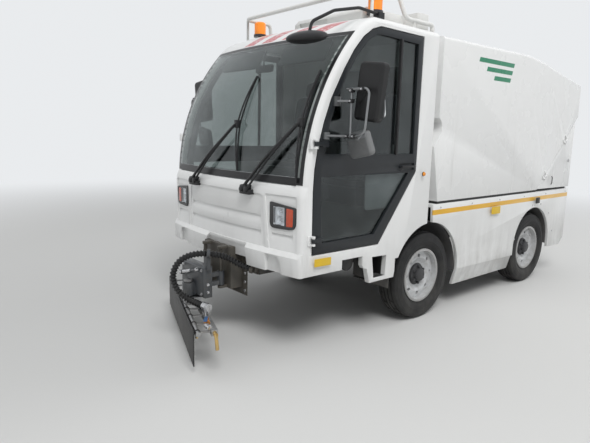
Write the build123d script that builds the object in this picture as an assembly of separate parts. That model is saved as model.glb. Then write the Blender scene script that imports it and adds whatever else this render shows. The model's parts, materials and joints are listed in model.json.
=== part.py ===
from build123d import *
import math
import os

# A compact street washer truck, in millimetres: a cab over the front axle, a water tank body behind it
# and a spray bar on a carriage in front. X points forward, Y to the truck's left and Z up, with the
# tyres standing at Z = 0. Lengths along the truck are set out from the front axle, and FRONT_AXLE_X
# then moves every piece into the part's frame, whose origin is the middle of the outline on the ground.

# Running gear
WHEELBASE = 1930.0
WHEEL_Y = 755.0
TYRE_RADIUS = 383.5
TYRE_WIDTH = 211.0
RIM_RADIUS = 235.0
RIM_SEAT_RADIUS = 222.0
RIM_WALL = 12.0
RIM_HALF_WIDTH = 86.0
DISC_Y = 10.0
DISC_THICK = 14.0
HUB_RADIUS = 88.0
HUB_NOSE = 82.0
HAND_HOLES = 8
HAND_HOLE_RADIUS = 17.0
STUDS = 6
SPINDLE_RADIUS = 30.0
BEARING_CLEARANCE = 0.06
KINGPIN_Y = 625.0
KINGPIN_RADIUS = 17.0
AXLE_HEIGHT = TYRE_RADIUS
STEER_ARM = 175.0
FORK_HALF = 62.0
FORK_EAR = 20.0
TIE_ROD_DROP = 22.0
JOINT_GAP = 6.0
HUB_BACK = 74.0
SPINDLE_END_Y = WHEEL_Y + HUB_NOSE - 22
HUB_BACK_Y = WHEEL_Y - HUB_BACK
TIE_ROD_Z = AXLE_HEIGHT - FORK_HALF - FORK_EAR - TIE_ROD_DROP

# Body widths and walls
HALF_WIDTH = 883.0
CAB_WALL = 42.0
CAB_REAR_X = 30.0
CAB_NOSE_X = 1520.0
CAB_BOW_RADIUS = 5150.0
CAB_EDGE_RADIUS = 45.0
SILL_Z = 605.0
CAB_SPLIT_Y = 800.0
SCREEN_LOW_Z = 1229.0
SCREEN_TOP_Z = 2284.0
SCREEN_TOP_X = 1057.0
SCREEN_GLASS = 8.0
SCREEN_HALF_WIDTH = 856.0
BROW_X = 860.0
ROOF_Z = 2405.0
ROOF_REAR_Z = 2392.0
DOOR_GAP = 7.0
DOOR_THICK = 40.0
DOOR_GLASS = 6.0
HINGE_X = 1360.0
HINGE_Y = 912.0
HINGE_LEAF = 9.0
HINGE_EYE = 13.0
HINGE_PIN = 9.0
HINGE_HEIGHTS = (860.0, 1515.0)

# Bumper, lamps and pressed recesses of the cab nose
BUMPER_TOP_Z = 768.0
BUMPER_PROUD = 20.0
NOTCH_OUTLINE = ((-250.0, 600.0), (-168.0, 770.0), (334.0, 770.0), (358.0, 600.0))
NOTCH_TOP_Z = 742.0
LAMP_INNER_Y = 585.0
LAMP_OUTER_Y = 828.0
LAMP_LOW_Z = 912.0
LAMP_TOP_Z = 1090.0
LAMP_CORNER = 34.0
RECESS_DEPTH = 10.0

# Tank body
TANK_FRONT_X = -43.0
TANK_TOP_Z = 2383.0
TANK_BOTTOM_Z = 1029.0
TANK_REAR_X = -2831.0
TANK_EDGE_RADIUS = 32.0
STRIP_THICK = 23.0
BODY_TOP_Z = TANK_BOTTOM_Z - STRIP_THICK
BODY_REAR_X = -2741.0
BODY_WALL = 28.0
SKIRT_FOLD_Z = 376.0
SKIRT_LOW_Z = 216.0
SKIRT_TUCK = 42.0
BODY_UPPER_Z = 1738.0
SIDE_DOOR_THICK = 22.0
SIDE_DOOR_GAP = 6.0
SIDE_HINGE_OUT = 14.0
SIDE_HINGE_EYE = 8.0
SIDE_HINGE_PIN = 4.5
SIDE_HINGE_SPOTS = (-300.0, 280.0)
FRONT_ARCH_X = -15.0
FRONT_ARCH_Z = 388.0
FRONT_ARCH_RADIUS = 465.0
REAR_ARCH_Z = 428.0
REAR_ARCH_RADIUS = 408.0
LINER_THICK = 6.0
LINER_INNER_Y = 520.0

# Cab floor
CAB_FLOOR_Z = 782.0
FLOOR_THICK = 25.0
SEAT_STEP_Z = 1000.0

# Chassis
RAIL_Y = 380.0
RAIL_WIDTH = 60.0
RAIL_HEIGHT = 120.0
RAIL_WALL = 6.0
RAIL_TOP_Z = 645.0
RAIL_FRONT_X = 1440.0
RAIL_REAR_X = -2640.0
ENGINE_LOW_Z = 545.0
TOW_JAW_Z = 585.0
TOW_PIN_BACK = 70.0
TOW_PIN_RADIUS = 16.0

# Spray bar and its carriage
MOUNT_FRONT_X = 1550.0
MOUNT_BACK_X = 1446.0
MOUNT_HALF_WIDTH = 190.0
MOUNT_LOW_Z = 380.0
MOUNT_TOP_Z = 710.0
GUIDE_X = 1592.0
GUIDE_Y = 112.0
GUIDE_RADIUS = 15.0
GUIDE_CLEARANCE = 0.3
SLEEVE_RADIUS = 29.0
SLEEVE_HEIGHT = 110.0
HEAD_BACK_X = 1700.0
HEAD_DEPTH = 74.0
HEAD_HALF_WIDTH = 165.0
HEAD_LOW_Z = 336.0
HEAD_TOP_Z = 580.0
PIVOT_X = 1812.0
PIVOT_RADIUS = 24.0
BAR_ANGLE = 20.5
BAR_LENGTH = 1330.0
BAR_Z = 272.0
REAR_TUBE_SIZE = 42.0
REAR_TUBE_V = -72.0
SPRAY_PIPE_RADIUS = 17.0
SPRAY_PIPE_V = 36.0
FLAP_V = 62.0
FLAP_THICK = 8.0
FLAP_LOW_Z = 52.0
FLAP_TOP_Z = 300.0
BAR_TIES = 9
NOZZLES = 9
HOSE_END_ON_BAR = (268.0, -76.4, 322.6)
HOSE_BEND_ON_BAR = (151.3, -6.6, 324.7)

# Hoses: the feed hose from the mount to the clip on the head, and the drop hose from there to the bar
HOSE_RADIUS = 26.0
HOSE_WALL = 8.0
HOSE_START = (1474.0, 370.0, 566.0)
HOSE_CLIP = (1742.0, 180.0, 684.0)
HOSE_CLIP_WAY = (0.869, -0.486, 0.091)

# Roof and mirrors
BEACON_X = 625.0
BEACON_Y = 715.0
BEACON_RADIUS = 54.0
BEACON_BASE_Z = 2488.0
BEACON_HEIGHT = 114.0
GUARD_RADIUS = 17.0
GUARD_TOP_Z = 2612.0
GUARD_LOW_Z = 2452.0
GUARD_Y = 830.0
MIRROR_X = 1035.0
MIRROR_REACH_Y = 1190.0
MIRROR_WIDTH = 212.0
MIRROR_HEIGHT = 385.0
MIRROR_DEPTH = 62.0

# The outline's two ends along the truck, from the front axle, and the shift that centres them.
bar_forward = Vector(math.cos(math.radians(BAR_ANGLE)), -math.sin(math.radians(BAR_ANGLE)), 0)
bar_left = Vector(math.sin(math.radians(BAR_ANGLE)), math.cos(math.radians(BAR_ANGLE)), 0)
FRONT_REACH = PIVOT_X + bar_left.X * BAR_LENGTH / 2 + bar_forward.X * (FLAP_V + FLAP_THICK)
FRONT_AXLE_X = (-TANK_REAR_X - FRONT_REACH) / 2
REAR_AXLE_X = -WHEELBASE

nodes = {}


def block(x_low, x_high, y_low, y_high, z_low, z_high):
    """A box between two corners."""
    size = (x_high - x_low, y_high - y_low, z_high - z_low)
    middle = ((x_low + x_high) / 2, (y_low + y_high) / 2, (z_low + z_high) / 2)
    return Pos(*middle) * Box(*size)


def side_prism(outline, y_low, y_high):
    """A side-view face of (X, Z) points pushed across the truck from y_low to y_high."""
    face = outline if isinstance(outline, (Face, Sketch)) else make_face(Polyline(*outline, close=True))
    return extrude(Plane.XZ.offset(-y_high) * face, amount=y_high - y_low)


def front_prism(outline, x_low, x_high):
    """A front-view face of (Y, Z) points pushed along the truck from x_low to x_high."""
    face = outline if isinstance(outline, (Face, Sketch)) else make_face(Polyline(*outline, close=True))
    return extrude(Plane.YZ.offset(x_low) * face, amount=x_high - x_low)


def rod(start, end, radius):
    """A round bar between two points."""
    a, b = Vector(*start), Vector(*end)
    plane = Plane(origin=a, z_dir=b - a)
    return extrude(plane * Circle(radius), amount=(b - a).length)


def cross_rod(x, z, radius, y_low, y_high):
    """A round bar that lies across the truck."""
    return rod((x, y_low, z), (x, y_high, z), radius)


def bent_tube(points, radius, bend):
    """A round tube along a route whose corners have one bend radius, or a list of them."""
    path = FilletPolyline(*points, radius=bend)
    start = Plane(origin=path @ 0, z_dir=path % 0)
    return sweep(start * Circle(radius), path=path)


def mirrored(solid):
    """The same piece on the truck's other side."""
    return mirror(solid, about=Plane.XZ)


def solids_of(shape):
    """The solids of one shape or of several."""
    shapes = shape if isinstance(shape, (list, tuple)) else [shape]
    found = []
    for each in shapes:
        found.extend(each.solids())
    return found


def joined(shapes):
    """One node made of several pieces, fused where they meet."""
    result = shapes[0]
    for each in shapes[1:]:
        result = result + each
    return result


# Wheels: each is turned about its axle line, at Y = 0 with the outer face towards +Y.
def wheel_turn(points):
    """A ring turned about the wheel's own Y axis from (Y, radius) points."""
    face = make_face(Polyline(*points, close=True))
    return revolve(Plane(origin=(0, 0, 0), x_dir=(0, 1, 0), z_dir=(1, 0, 0)) * face, axis=Axis.Y)


def tyre():
    """The tyre, with its bead seats, bulged walls, shoulders and three tread grooves."""
    w, r = TYRE_WIDTH / 2, TYRE_RADIUS
    tread = w - 14
    with BuildLine() as line:
        Line((-RIM_HALF_WIDTH + 10, RIM_SEAT_RADIUS), (RIM_HALF_WIDTH - 10, RIM_SEAT_RADIUS))
        Line((RIM_HALF_WIDTH - 10, RIM_SEAT_RADIUS), (RIM_HALF_WIDTH - 10, RIM_RADIUS + 4))
        ThreePointArc((RIM_HALF_WIDTH - 10, RIM_RADIUS + 4), (w, (RIM_RADIUS + r) / 2), (tread, r - 14))
        Line((tread, r - 14), (tread - 22, r))
        Line((tread - 22, r), (-tread + 22, r))
        Line((-tread + 22, r), (-tread, r - 14))
        ThreePointArc((-tread, r - 14), (-w, (RIM_RADIUS + r) / 2), (-RIM_HALF_WIDTH + 10, RIM_RADIUS + 4))
        Line((-RIM_HALF_WIDTH + 10, RIM_RADIUS + 4), (-RIM_HALF_WIDTH + 10, RIM_SEAT_RADIUS))
    plane = Plane(origin=(0, 0, 0), x_dir=(0, 1, 0), z_dir=(1, 0, 0))
    body = revolve(plane * make_face(line.edges()), axis=Axis.Y)
    groove_width, groove_depth = 9.0, 9.0
    for y in (-42.0, 0.0, 42.0):
        ring = wheel_turn([(y - groove_width / 2, r - groove_depth), (y + groove_width / 2, r - groove_depth),
                           (y + groove_width / 2, r + 2), (y - groove_width / 2, r + 2)])
        body -= ring
    return body


def rim():
    """The steel rim: barrel with its two flanges, a dished disc with hand holes, and the hub's nose."""
    half, seat, flange = RIM_HALF_WIDTH, RIM_SEAT_RADIUS, RIM_RADIUS
    inner = seat - RIM_WALL
    barrel = wheel_turn([
        (-half, inner + 4), (-half, flange), (-half + 10, flange), (-half + 10, seat), (half - 10, seat),
        (half - 10, flange), (half, flange), (half, inner + 4), (half - 16, inner), (-half + 16, inner)])
    disc = wheel_turn([
        (DISC_Y, 0.0), (DISC_Y + DISC_THICK, 0.0), (DISC_Y + DISC_THICK, 118.0),
        (DISC_Y + DISC_THICK + 26, 150.0), (DISC_Y + DISC_THICK + 14, inner + 2),
        (DISC_Y, inner + 2), (DISC_Y + 12, 150.0), (DISC_Y, 124.0)])
    hub = wheel_turn([
        (-HUB_BACK, 0.0), (-HUB_BACK, 58.0), (-20.0, 70.0), (DISC_Y, HUB_RADIUS), (DISC_Y + 30, HUB_RADIUS),
        (DISC_Y + 36, 62.0), (HUB_NOSE - 8, 56.0), (HUB_NOSE, 46.0), (HUB_NOSE, 0.0)])
    body = barrel + disc + hub
    for i in range(HAND_HOLES):
        angle = math.radians(360 / HAND_HOLES * i)
        x, z = 168.0 * math.cos(angle), 168.0 * math.sin(angle)
        body -= cross_rod(x, z, HAND_HOLE_RADIUS, -40, 120)
    for i in range(STUDS):
        angle = math.radians(360 / STUDS * i + 30)
        x, z = 74.0 * math.cos(angle), 74.0 * math.sin(angle)
        nut = Pos(x, DISC_Y + 30, z) * Rot(-90, 0, 0) * extrude(RegularPolygon(13.0, 6), amount=20)
        body += nut
    bore_end = HUB_NOSE - 16
    return body - cross_rod(0, 0, SPINDLE_RADIUS + BEARING_CLEARANCE, -90, bore_end)


def put_wheels():
    """Four wheels: tyre and rim, each pair on its own axle end."""
    places = [("front_left", 0.0, 1), ("front_right", 0.0, -1),
              ("rear_left", REAR_AXLE_X, 1), ("rear_right", REAR_AXLE_X, -1)]
    one_tyre, one_rim = tyre(), rim()
    for name, x, side in places:
        for label, solid in (("tyre", one_tyre), ("rim", one_rim)):
            placed = Pos(x, WHEEL_Y, AXLE_HEIGHT) * solid
            nodes[f"{label}_{name}"] = placed if side > 0 else mirrored(placed)


def knuckle():
    """The left steering knuckle: kingpin, fork round the axle's eye, spindle and steering arm."""
    ear = FORK_EAR
    low, high = AXLE_HEIGHT - FORK_HALF, AXLE_HEIGHT + FORK_HALF
    ears = [Pos(0, KINGPIN_Y, low - ear / 2) * Cylinder(30, ear), Pos(0, KINGPIN_Y, high + ear / 2) * Cylinder(30, ear)]
    back = block(-26, 26, KINGPIN_Y + 34, KINGPIN_Y + 48, low - ear, high + ear)
    webs = [block(-26, 26, KINGPIN_Y, KINGPIN_Y + 40, low - ear, low),
            block(-26, 26, KINGPIN_Y, KINGPIN_Y + 40, high, high + ear)]
    spindle = cross_rod(0, AXLE_HEIGHT, SPINDLE_RADIUS, KINGPIN_Y + 40, SPINDLE_END_Y)
    pin = Pos(0, KINGPIN_Y, AXLE_HEIGHT) * Cylinder(KINGPIN_RADIUS, high - low + 2 * ear)
    arm_z = low - ear
    arm = block(-STEER_ARM - 20, 0, KINGPIN_Y - 18, KINGPIN_Y + 18, arm_z, arm_z + 16)
    arm += block(-20, 20, KINGPIN_Y - 18, KINGPIN_Y + 40, arm_z, arm_z + 16)
    stud = Pos(-STEER_ARM, KINGPIN_Y, arm_z - 18) * Cylinder(9, 40)
    return joined([*ears, back, *webs, spindle, pin, arm, stud])


def tie_rod():
    """The track rod behind the front axle, with an eye on each knuckle's ball stud."""
    bar = cross_rod(-STEER_ARM, TIE_ROD_Z, 11, -KINGPIN_Y + 16, KINGPIN_Y - 16)
    eyes = [Pos(-STEER_ARM, y, TIE_ROD_Z) * Cylinder(23, 30) for y in (-KINGPIN_Y, KINGPIN_Y)]
    body = joined([bar, *eyes])
    for y in (-KINGPIN_Y, KINGPIN_Y):
        radius = 9 + (BEARING_CLEARANCE if y > 0 else 1.5)
        body -= Pos(-STEER_ARM, y, TIE_ROD_Z) * Cylinder(radius, 60)
    return body


def leaf_spring(x_middle, y, top_z, half_length):
    """A stack of three leaves that lies on the axle, with its two ends on the rail's hangers."""
    leaves = []
    for index, share in enumerate((1.0, 0.72, 0.45)):
        z = top_z - 12 * index
        reach = half_length * share
        leaves.append(block(x_middle - reach, x_middle + reach, y - 30, y + 30, z - 12, z))
    hanger_top = RAIL_TOP_Z - RAIL_HEIGHT
    for end in (-1, 1):
        x = x_middle + end * (half_length - 20)
        leaves.append(block(x - 22, x + 22, y - 22, y + 22, top_z, hanger_top))
    return joined(leaves)


def front_axle():
    """The front beam with an eye for each kingpin, and its two leaf springs."""
    beam = block(-34, 34, -KINGPIN_Y + 26, KINGPIN_Y - 26, AXLE_HEIGHT - 42, AXLE_HEIGHT + 42)
    beam -= block(-34, -14, -KINGPIN_Y + 60, KINGPIN_Y - 60, AXLE_HEIGHT - 28, AXLE_HEIGHT + 28)
    beam -= block(14, 34, -KINGPIN_Y + 60, KINGPIN_Y - 60, AXLE_HEIGHT - 28, AXLE_HEIGHT + 28)
    for side in (-1, 1):
        eye = Pos(0, side * KINGPIN_Y, AXLE_HEIGHT) * Cylinder(28, 2 * (FORK_HALF - JOINT_GAP))
        beam += eye
        beam -= Pos(0, side * KINGPIN_Y, AXLE_HEIGHT) * Cylinder(KINGPIN_RADIUS + BEARING_CLEARANCE, 200)
        beam += block(-30, 30, side * RAIL_Y - 38, side * RAIL_Y + 38, AXLE_HEIGHT + 42, AXLE_HEIGHT + 60)
        beam += leaf_spring(0, side * RAIL_Y, AXLE_HEIGHT + 96, 430)
    return beam


def rear_axle():
    """The driven rear axle: a tube with its gear case, two spindles and two leaf springs."""
    body = cross_rod(0, AXLE_HEIGHT, 48, -HUB_BACK_Y + 20, HUB_BACK_Y - 20)
    case = Pos(0, 60, AXLE_HEIGHT) * Rot(90, 0, 0) * Cylinder(140, 150)
    body += chamfer(case.edges(), 28)
    body += cross_rod(0, AXLE_HEIGHT, SPINDLE_RADIUS, -SPINDLE_END_Y, SPINDLE_END_Y)
    for side in (-1, 1):
        flange_y = side * (HUB_BACK_Y - 20)
        body += cross_rod(0, AXLE_HEIGHT, 72, min(flange_y, flange_y - side * 14), max(flange_y, flange_y - side * 14))
        body += block(-34, 34, side * RAIL_Y - 38, side * RAIL_Y + 38, AXLE_HEIGHT + 20, AXLE_HEIGHT + 60)
        body += leaf_spring(0, side * RAIL_Y, AXLE_HEIGHT + 96, 430)
    return Pos(REAR_AXLE_X, 0, 0) * body


def chassis_frame():
    """Two box rails, their cross members, the cab and body supports, and the rear towing jaw."""
    low = RAIL_TOP_Z - RAIL_HEIGHT
    web_y = RAIL_Y + RAIL_WIDTH / 2 - 1
    pieces = []
    for side in (-1, 1):
        y = side * RAIL_Y
        rail = block(RAIL_REAR_X, RAIL_FRONT_X, y - RAIL_WIDTH / 2, y + RAIL_WIDTH / 2, low, RAIL_TOP_Z)
        inside = side * RAIL_WALL
        slot_low = min(y - side * RAIL_WIDTH / 2, y + side * RAIL_WIDTH / 2 - inside)
        slot_high = max(y - side * RAIL_WIDTH / 2, y + side * RAIL_WIDTH / 2 - inside)
        rail -= block(RAIL_REAR_X, RAIL_FRONT_X, slot_low, slot_high, low + RAIL_WALL, RAIL_TOP_Z - RAIL_WALL)
        pieces.append(rail)
    for x in (RAIL_FRONT_X - 30, 620.0, -150.0, -1150.0, REAR_AXLE_X - 470, RAIL_REAR_X + 30):
        pieces.append(block(x - 30, x + 30, -web_y, web_y, low + 20, RAIL_TOP_Z - 20))
    for x in (-330.0, -880.0):
        pieces.append(block(x - 30, x + 30, -web_y, web_y, low + RAIL_WALL - 1, ENGINE_LOW_Z))
    for x in (1300.0, 650.0):
        for side in (-1, 1):
            y = side * RAIL_Y
            pieces.append(block(x - 35, x + 35, y - 30, y + 30, RAIL_TOP_Z, CAB_FLOOR_Z))
    for x in (-250.0, -1150.0, REAR_AXLE_X - 550):
        for side in (-1, 1):
            y = side * RAIL_Y
            pieces.append(block(x - 40, x + 40, y - 30, y + 30, RAIL_TOP_Z, BODY_TOP_Z - BODY_WALL))
            outer = side * (HALF_WIDTH - BODY_WALL)
            pieces.append(block(x - 25, x + 25, min(y, outer), max(y, outer), BODY_TOP_Z - BODY_WALL - 50, BODY_TOP_Z - BODY_WALL))
    frame = joined(pieces)
    jaw_x = RAIL_REAR_X - TOW_PIN_BACK
    for z in (TOW_JAW_Z - 45, TOW_JAW_Z + 45):
        frame += block(jaw_x - 30, RAIL_REAR_X + 2, -45, 45, z - 10, z + 10)
    frame += block(RAIL_REAR_X - 12, RAIL_REAR_X + 2, -90, 90, TOW_JAW_Z - 70, TOW_JAW_Z + 70)
    return frame - Pos(jaw_x, 0, TOW_JAW_Z) * Cylinder(TOW_PIN_RADIUS, 200)


# Cab: one hollow shell, turned about an upright axis far behind for the bow of its nose and screen.
def cab_profile(inset):
    """The cab's middle section, with its windscreen arc and brow, moved in by a wall."""
    nose, bottom = CAB_NOSE_X, 300.0
    chord = Vector(SCREEN_TOP_X - (nose - 26), SCREEN_TOP_Z - SCREEN_LOW_Z)
    middle = Vector(nose - 26, SCREEN_LOW_Z) + chord * 0.5
    bulge = Vector(chord.Y, -chord.X).normalized() * 102.0
    brow_middle = ((SCREEN_TOP_X + BROW_X) / 2 + 10.5, (SCREEN_TOP_Z + ROOF_Z) / 2 + 17)
    with BuildLine() as line:
        Line((-300, bottom), (nose - 8, bottom))
        Line((nose - 8, bottom), (nose, 1130))
        ThreePointArc((nose, 1130), (nose - 6, 1185), (nose - 26, SCREEN_LOW_Z))
        ThreePointArc((nose - 26, SCREEN_LOW_Z), (middle.X + bulge.X, middle.Y + bulge.Y), (SCREEN_TOP_X, SCREEN_TOP_Z))
        ThreePointArc((SCREEN_TOP_X, SCREEN_TOP_Z), brow_middle, (BROW_X, ROOF_Z))
        Line((BROW_X, ROOF_Z), (-300, ROOF_REAR_Z))
        Line((-300, ROOF_REAR_Z), (-300, bottom))
    face = make_face(line.edges())
    return offset(face, amount=-inset, kind=Kind.ARC) if inset else face


def bowed(face, half_angle=15.0):
    """A middle section turned about the cab's upright bow axis."""
    axis_x = CAB_NOSE_X - CAB_BOW_RADIUS
    turned = revolve(Plane.XZ * face, axis=Axis((axis_x, 0, 0), (0, 0, 1)), revolution_arc=2 * half_angle)
    return Pos(axis_x, 0, 0) * Rot(0, 0, -half_angle) * Pos(-axis_x, 0, 0) * turned


def cab_body(inset, edge_radius=0.0, rear_x=None):
    """The cab as a solid block, moved in by a wall, with its long side edges rounded."""
    w = HALF_WIDTH - inset
    rear_x = CAB_REAR_X + inset if rear_x is None else rear_x
    body = bowed(cab_profile(inset)) & block(rear_x, 2000, -w, w, 0, 3000)
    if edge_radius:
        edges = []
        for face in body.faces().filter_by(Axis.Y):
            for edge in face.edges():
                if edge.bounding_box().max.X > CAB_REAR_X + 10 and edge.bounding_box().max.Z > 400:
                    edges.append(edge)
        body = fillet(edges, edge_radius)
    return body


def nose_ring(low_z, high_z, depth, proud=60.0):
    """A band of the bowed nose between two heights, from a depth inside the skin to well outside it."""
    face = make_face(Polyline((CAB_NOSE_X - depth, low_z), (CAB_NOSE_X + proud, low_z),
                              (CAB_NOSE_X + proud, high_z), (CAB_NOSE_X - depth, high_z), close=True))
    return bowed(face)


DOOR_OPENING = [
    (1349, 750), (1354, 1192), (1346, 1341), (1321, 1487), (1271, 1661), (1209, 1821), (1099, 2017),
    (1006, 2156), (916, 2254), (823, 2317), (737, 2344), (225, 2338), (226, 1298), (651, 746)]
UPPER_GLASS = [
    (1254, 1444), (1205, 1671), (1148, 1825), (1057, 1990), (973, 2112), (864, 2232), (770, 2283),
    (700, 2288), (292, 2274), (282, 1438)]
LOWER_GLASS = [(1279, 1292), (330, 1290), (712, 834), (1263, 828)]


def door_outline():
    """The side door's edge: the cab's opening less the running gap."""
    return offset(make_face(Polyline(*DOOR_OPENING, close=True)), amount=-DOOR_GAP, kind=Kind.INTERSECTION)


def cab_pieces():
    """The cab's nose, two sides, roof and rear wall, and the windscreen, split where the panels meet."""
    outer = cab_body(0, CAB_EDGE_RADIUS)
    cavity = cab_body(CAB_WALL)
    glass_zone = block(900, 1700, -SCREEN_HALF_WIDTH, SCREEN_HALF_WIDTH, SCREEN_LOW_Z + 6, SCREEN_TOP_Z)
    glass = (outer & glass_zone) - cab_body(SCREEN_GLASS)
    nodes["windscreen"] = glass
    split = CAB_SPLIT_Y
    nose_zone = block(1395, 1700, -1000, 1000, SILL_Z, SCREEN_LOW_Z)
    nose = (outer & nose_zone) - cavity
    bumper_face = make_face(Polyline((CAB_NOSE_X - 20, SILL_Z), (CAB_NOSE_X + BUMPER_PROUD - 8, SILL_Z),
                                     (CAB_NOSE_X + BUMPER_PROUD, BUMPER_TOP_Z - 14),
                                     (CAB_NOSE_X + BUMPER_PROUD - 12, BUMPER_TOP_Z), (CAB_NOSE_X - 20, BUMPER_TOP_Z), close=True))
    bumper = bowed(bumper_face) & block(1395, 1700, -HALF_WIDTH - 6, HALF_WIDTH + 6, SILL_Z, BUMPER_TOP_Z)
    bumper = bumper - cavity
    bumper -= front_prism(NOTCH_OUTLINE, 1395, 1700)
    nose -= front_prism(NOTCH_OUTLINE, 1300, 1700) & block(1300, 1700, -HALF_WIDTH, HALF_WIDTH, 0, NOTCH_TOP_Z)
    nose = nose + bumper
    for low_z, high_z in ((822, 868), (930, 982)):
        nose -= nose_ring(low_z, high_z, RECESS_DEPTH) & block(1300, 1700, -478, 478, 0, 3000)
    for side in (-1, 1):
        low, high = sorted((side * 560, side * 800))
        nose -= nose_ring(824, 868, RECESS_DEPTH) & block(1300, 1700, low, high, 0, 3000)
        low, high = sorted((side * 560, side * 640))
        nose -= nose_ring(660, 716, RECESS_DEPTH, 80) & block(1300, 1700, low, high, 0, 3000)
        low, high = sorted((side * LAMP_INNER_Y, side * LAMP_OUTER_Y))
        window = Pos((low + high) / 2, (LAMP_LOW_Z + LAMP_TOP_Z) / 2) * RectangleRounded(high - low, LAMP_TOP_Z - LAMP_LOW_Z, LAMP_CORNER)
        nose -= front_prism(window, 1380, 1700)
    nodes["cab_front"] = nose

    side_piece = (outer & block(0, 1700, split, 1000, SILL_Z, 3000)) - nose_zone - cavity - glass
    step = side_prism([(830, SILL_Z + 12), (806, 578), (770, 571), (737, 452), (436, 452), (436, SILL_Z + 12)],
                      HALF_WIDTH - CAB_WALL, HALF_WIDTH)
    side_piece = side_piece + step
    side_piece -= side_prism(DOOR_OPENING, split - 1, HALF_WIDTH + 1)
    side_piece -= block(823, 1044, split - 1, HALF_WIDTH + 1, 400, 677)
    side_piece -= side_prism([(716, 655), (546, 649), (554, 484), (690, 484)], split - 1, HALF_WIDTH + 1)
    arch = Pos(FRONT_ARCH_X, 0, FRONT_ARCH_Z) * Rot(90, 0, 0) * Cylinder(FRONT_ARCH_RADIUS, 2200)
    side_piece -= arch
    side_piece -= block(0, CAB_REAR_X + CAB_WALL + 1, split - 1, HALF_WIDTH - CAB_WALL, 0, 880)
    nodes["cab_side_left"] = side_piece
    nodes["cab_side_right"] = mirrored(side_piece)

    roof = outer & block(CAB_REAR_X + CAB_WALL, 1700, -split, split, SCREEN_TOP_Z - 22, 3000)
    nodes["cab_roof"] = roof - cab_body(CAB_WALL, rear_x=CAB_REAR_X) - glass
    wall = outer & block(0, CAB_REAR_X + CAB_WALL, -split, split, 880, 3000)
    wall -= block(0, 400, -520, 520, 1500, 2160)
    nodes["cab_rear_wall"] = wall
    pane = block(CAB_REAR_X + 12, CAB_REAR_X + 18, -520, 520, 1500, 2160)
    nodes["cab_rear_window"] = pane

    floor_face = [(1464, CAB_FLOOR_Z), (1464, CAB_FLOOR_Z + FLOOR_THICK), (735, CAB_FLOOR_Z + FLOOR_THICK),
                  (575, 1000), (CAB_REAR_X + CAB_WALL, 1000), (CAB_REAR_X + CAB_WALL, 975), (560, 975), (718, CAB_FLOOR_Z)]
    floor = side_prism(floor_face, -HALF_WIDTH + CAB_WALL, HALF_WIDTH - CAB_WALL)
    floor = floor & cab_body(CAB_WALL)
    nodes["cab_floor"] = floor


def headlamps():
    """Both lamp units, flush with the nose: a deep housing that fills its window."""
    outer = cab_body(0, CAB_EDGE_RADIUS)
    lamps = []
    for side in (-1, 1):
        low, high = sorted((side * LAMP_INNER_Y, side * LAMP_OUTER_Y))
        window = Pos((low + high) / 2, (LAMP_LOW_Z + LAMP_TOP_Z) / 2) * RectangleRounded(high - low, LAMP_TOP_Z - LAMP_LOW_Z, LAMP_CORNER)
        lamps.append((front_prism(window, 1380, 1700) & outer) - cab_body(CAB_WALL))
    return Compound(solids_of(lamps))


def door():
    """The left door: a framed panel with two windows, a handle and half of each outside hinge."""
    inner_y = HALF_WIDTH - DOOR_THICK
    panel = side_prism(door_outline(), inner_y, HALF_WIDTH)
    panel -= side_prism(UPPER_GLASS, inner_y - 1, HALF_WIDTH + 1)
    panel -= side_prism(LOWER_GLASS, inner_y - 1, HALF_WIDTH + 1)
    panel -= block(262, 452, HALF_WIDTH - 12, HALF_WIDTH + 1, 1310, 1366)
    panel += block(276, 440, HALF_WIDTH - 12, HALF_WIDTH - 2, 1330, 1348)
    for z in HINGE_HEIGHTS:
        door_edge = hinge_door_edge(z)
        leaf = block(door_edge - 60, door_edge - 4, HALF_WIDTH, HINGE_Y + 4, z - 22, z + 22)
        arm = block(door_edge - 30, HINGE_X, HINGE_Y - 8, HINGE_Y + 8, z - 14, z + 14)
        eye = Pos(HINGE_X, HINGE_Y, z) * Cylinder(HINGE_EYE, 28)
        panel += leaf + arm + eye
        panel -= Pos(HINGE_X, HINGE_Y, z) * Cylinder(HINGE_PIN + BEARING_CLEARANCE, 60)
    return panel


def hinge_door_edge(z):
    """Where the door's front edge lies at a hinge's height."""
    points = DOOR_OPENING[:5]
    for (x_a, z_a), (x_b, z_b) in zip(points, points[1:]):
        if z_a <= z <= z_b:
            return x_a + (x_b - x_a) * (z - z_a) / (z_b - z_a) - DOOR_GAP
    return points[0][0] - DOOR_GAP


def hinge_pillar_halves():
    """The cab's half of each door hinge: a plate on the pillar with two ears and the pin."""
    pieces = []
    for z in HINGE_HEIGHTS:
        plate_x = hinge_door_edge(z) + DOOR_GAP + 5
        part = block(plate_x, HINGE_X + 32, HALF_WIDTH - 4, HALF_WIDTH + HINGE_LEAF, z - 34, z + 34)
        for ear_z in (z - 27, z + 27):
            part += block(HINGE_X - HINGE_EYE, HINGE_X + HINGE_EYE, HALF_WIDTH, HINGE_Y, ear_z - 6, ear_z + 6)
            part += Pos(HINGE_X, HINGE_Y, ear_z) * Cylinder(HINGE_EYE, 12)
        part += Pos(HINGE_X, HINGE_Y, z) * Cylinder(HINGE_PIN, 66)
        pieces.append(part)
    return pieces


def door_glass():
    """The left door's two panes, set in the middle of its frame."""
    middle = HALF_WIDTH - DOOR_THICK / 2
    panes = [side_prism(outline, middle - DOOR_GLASS / 2, middle + DOOR_GLASS / 2)
             for outline in (UPPER_GLASS, LOWER_GLASS)]
    return Compound(solids_of(panes))


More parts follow.
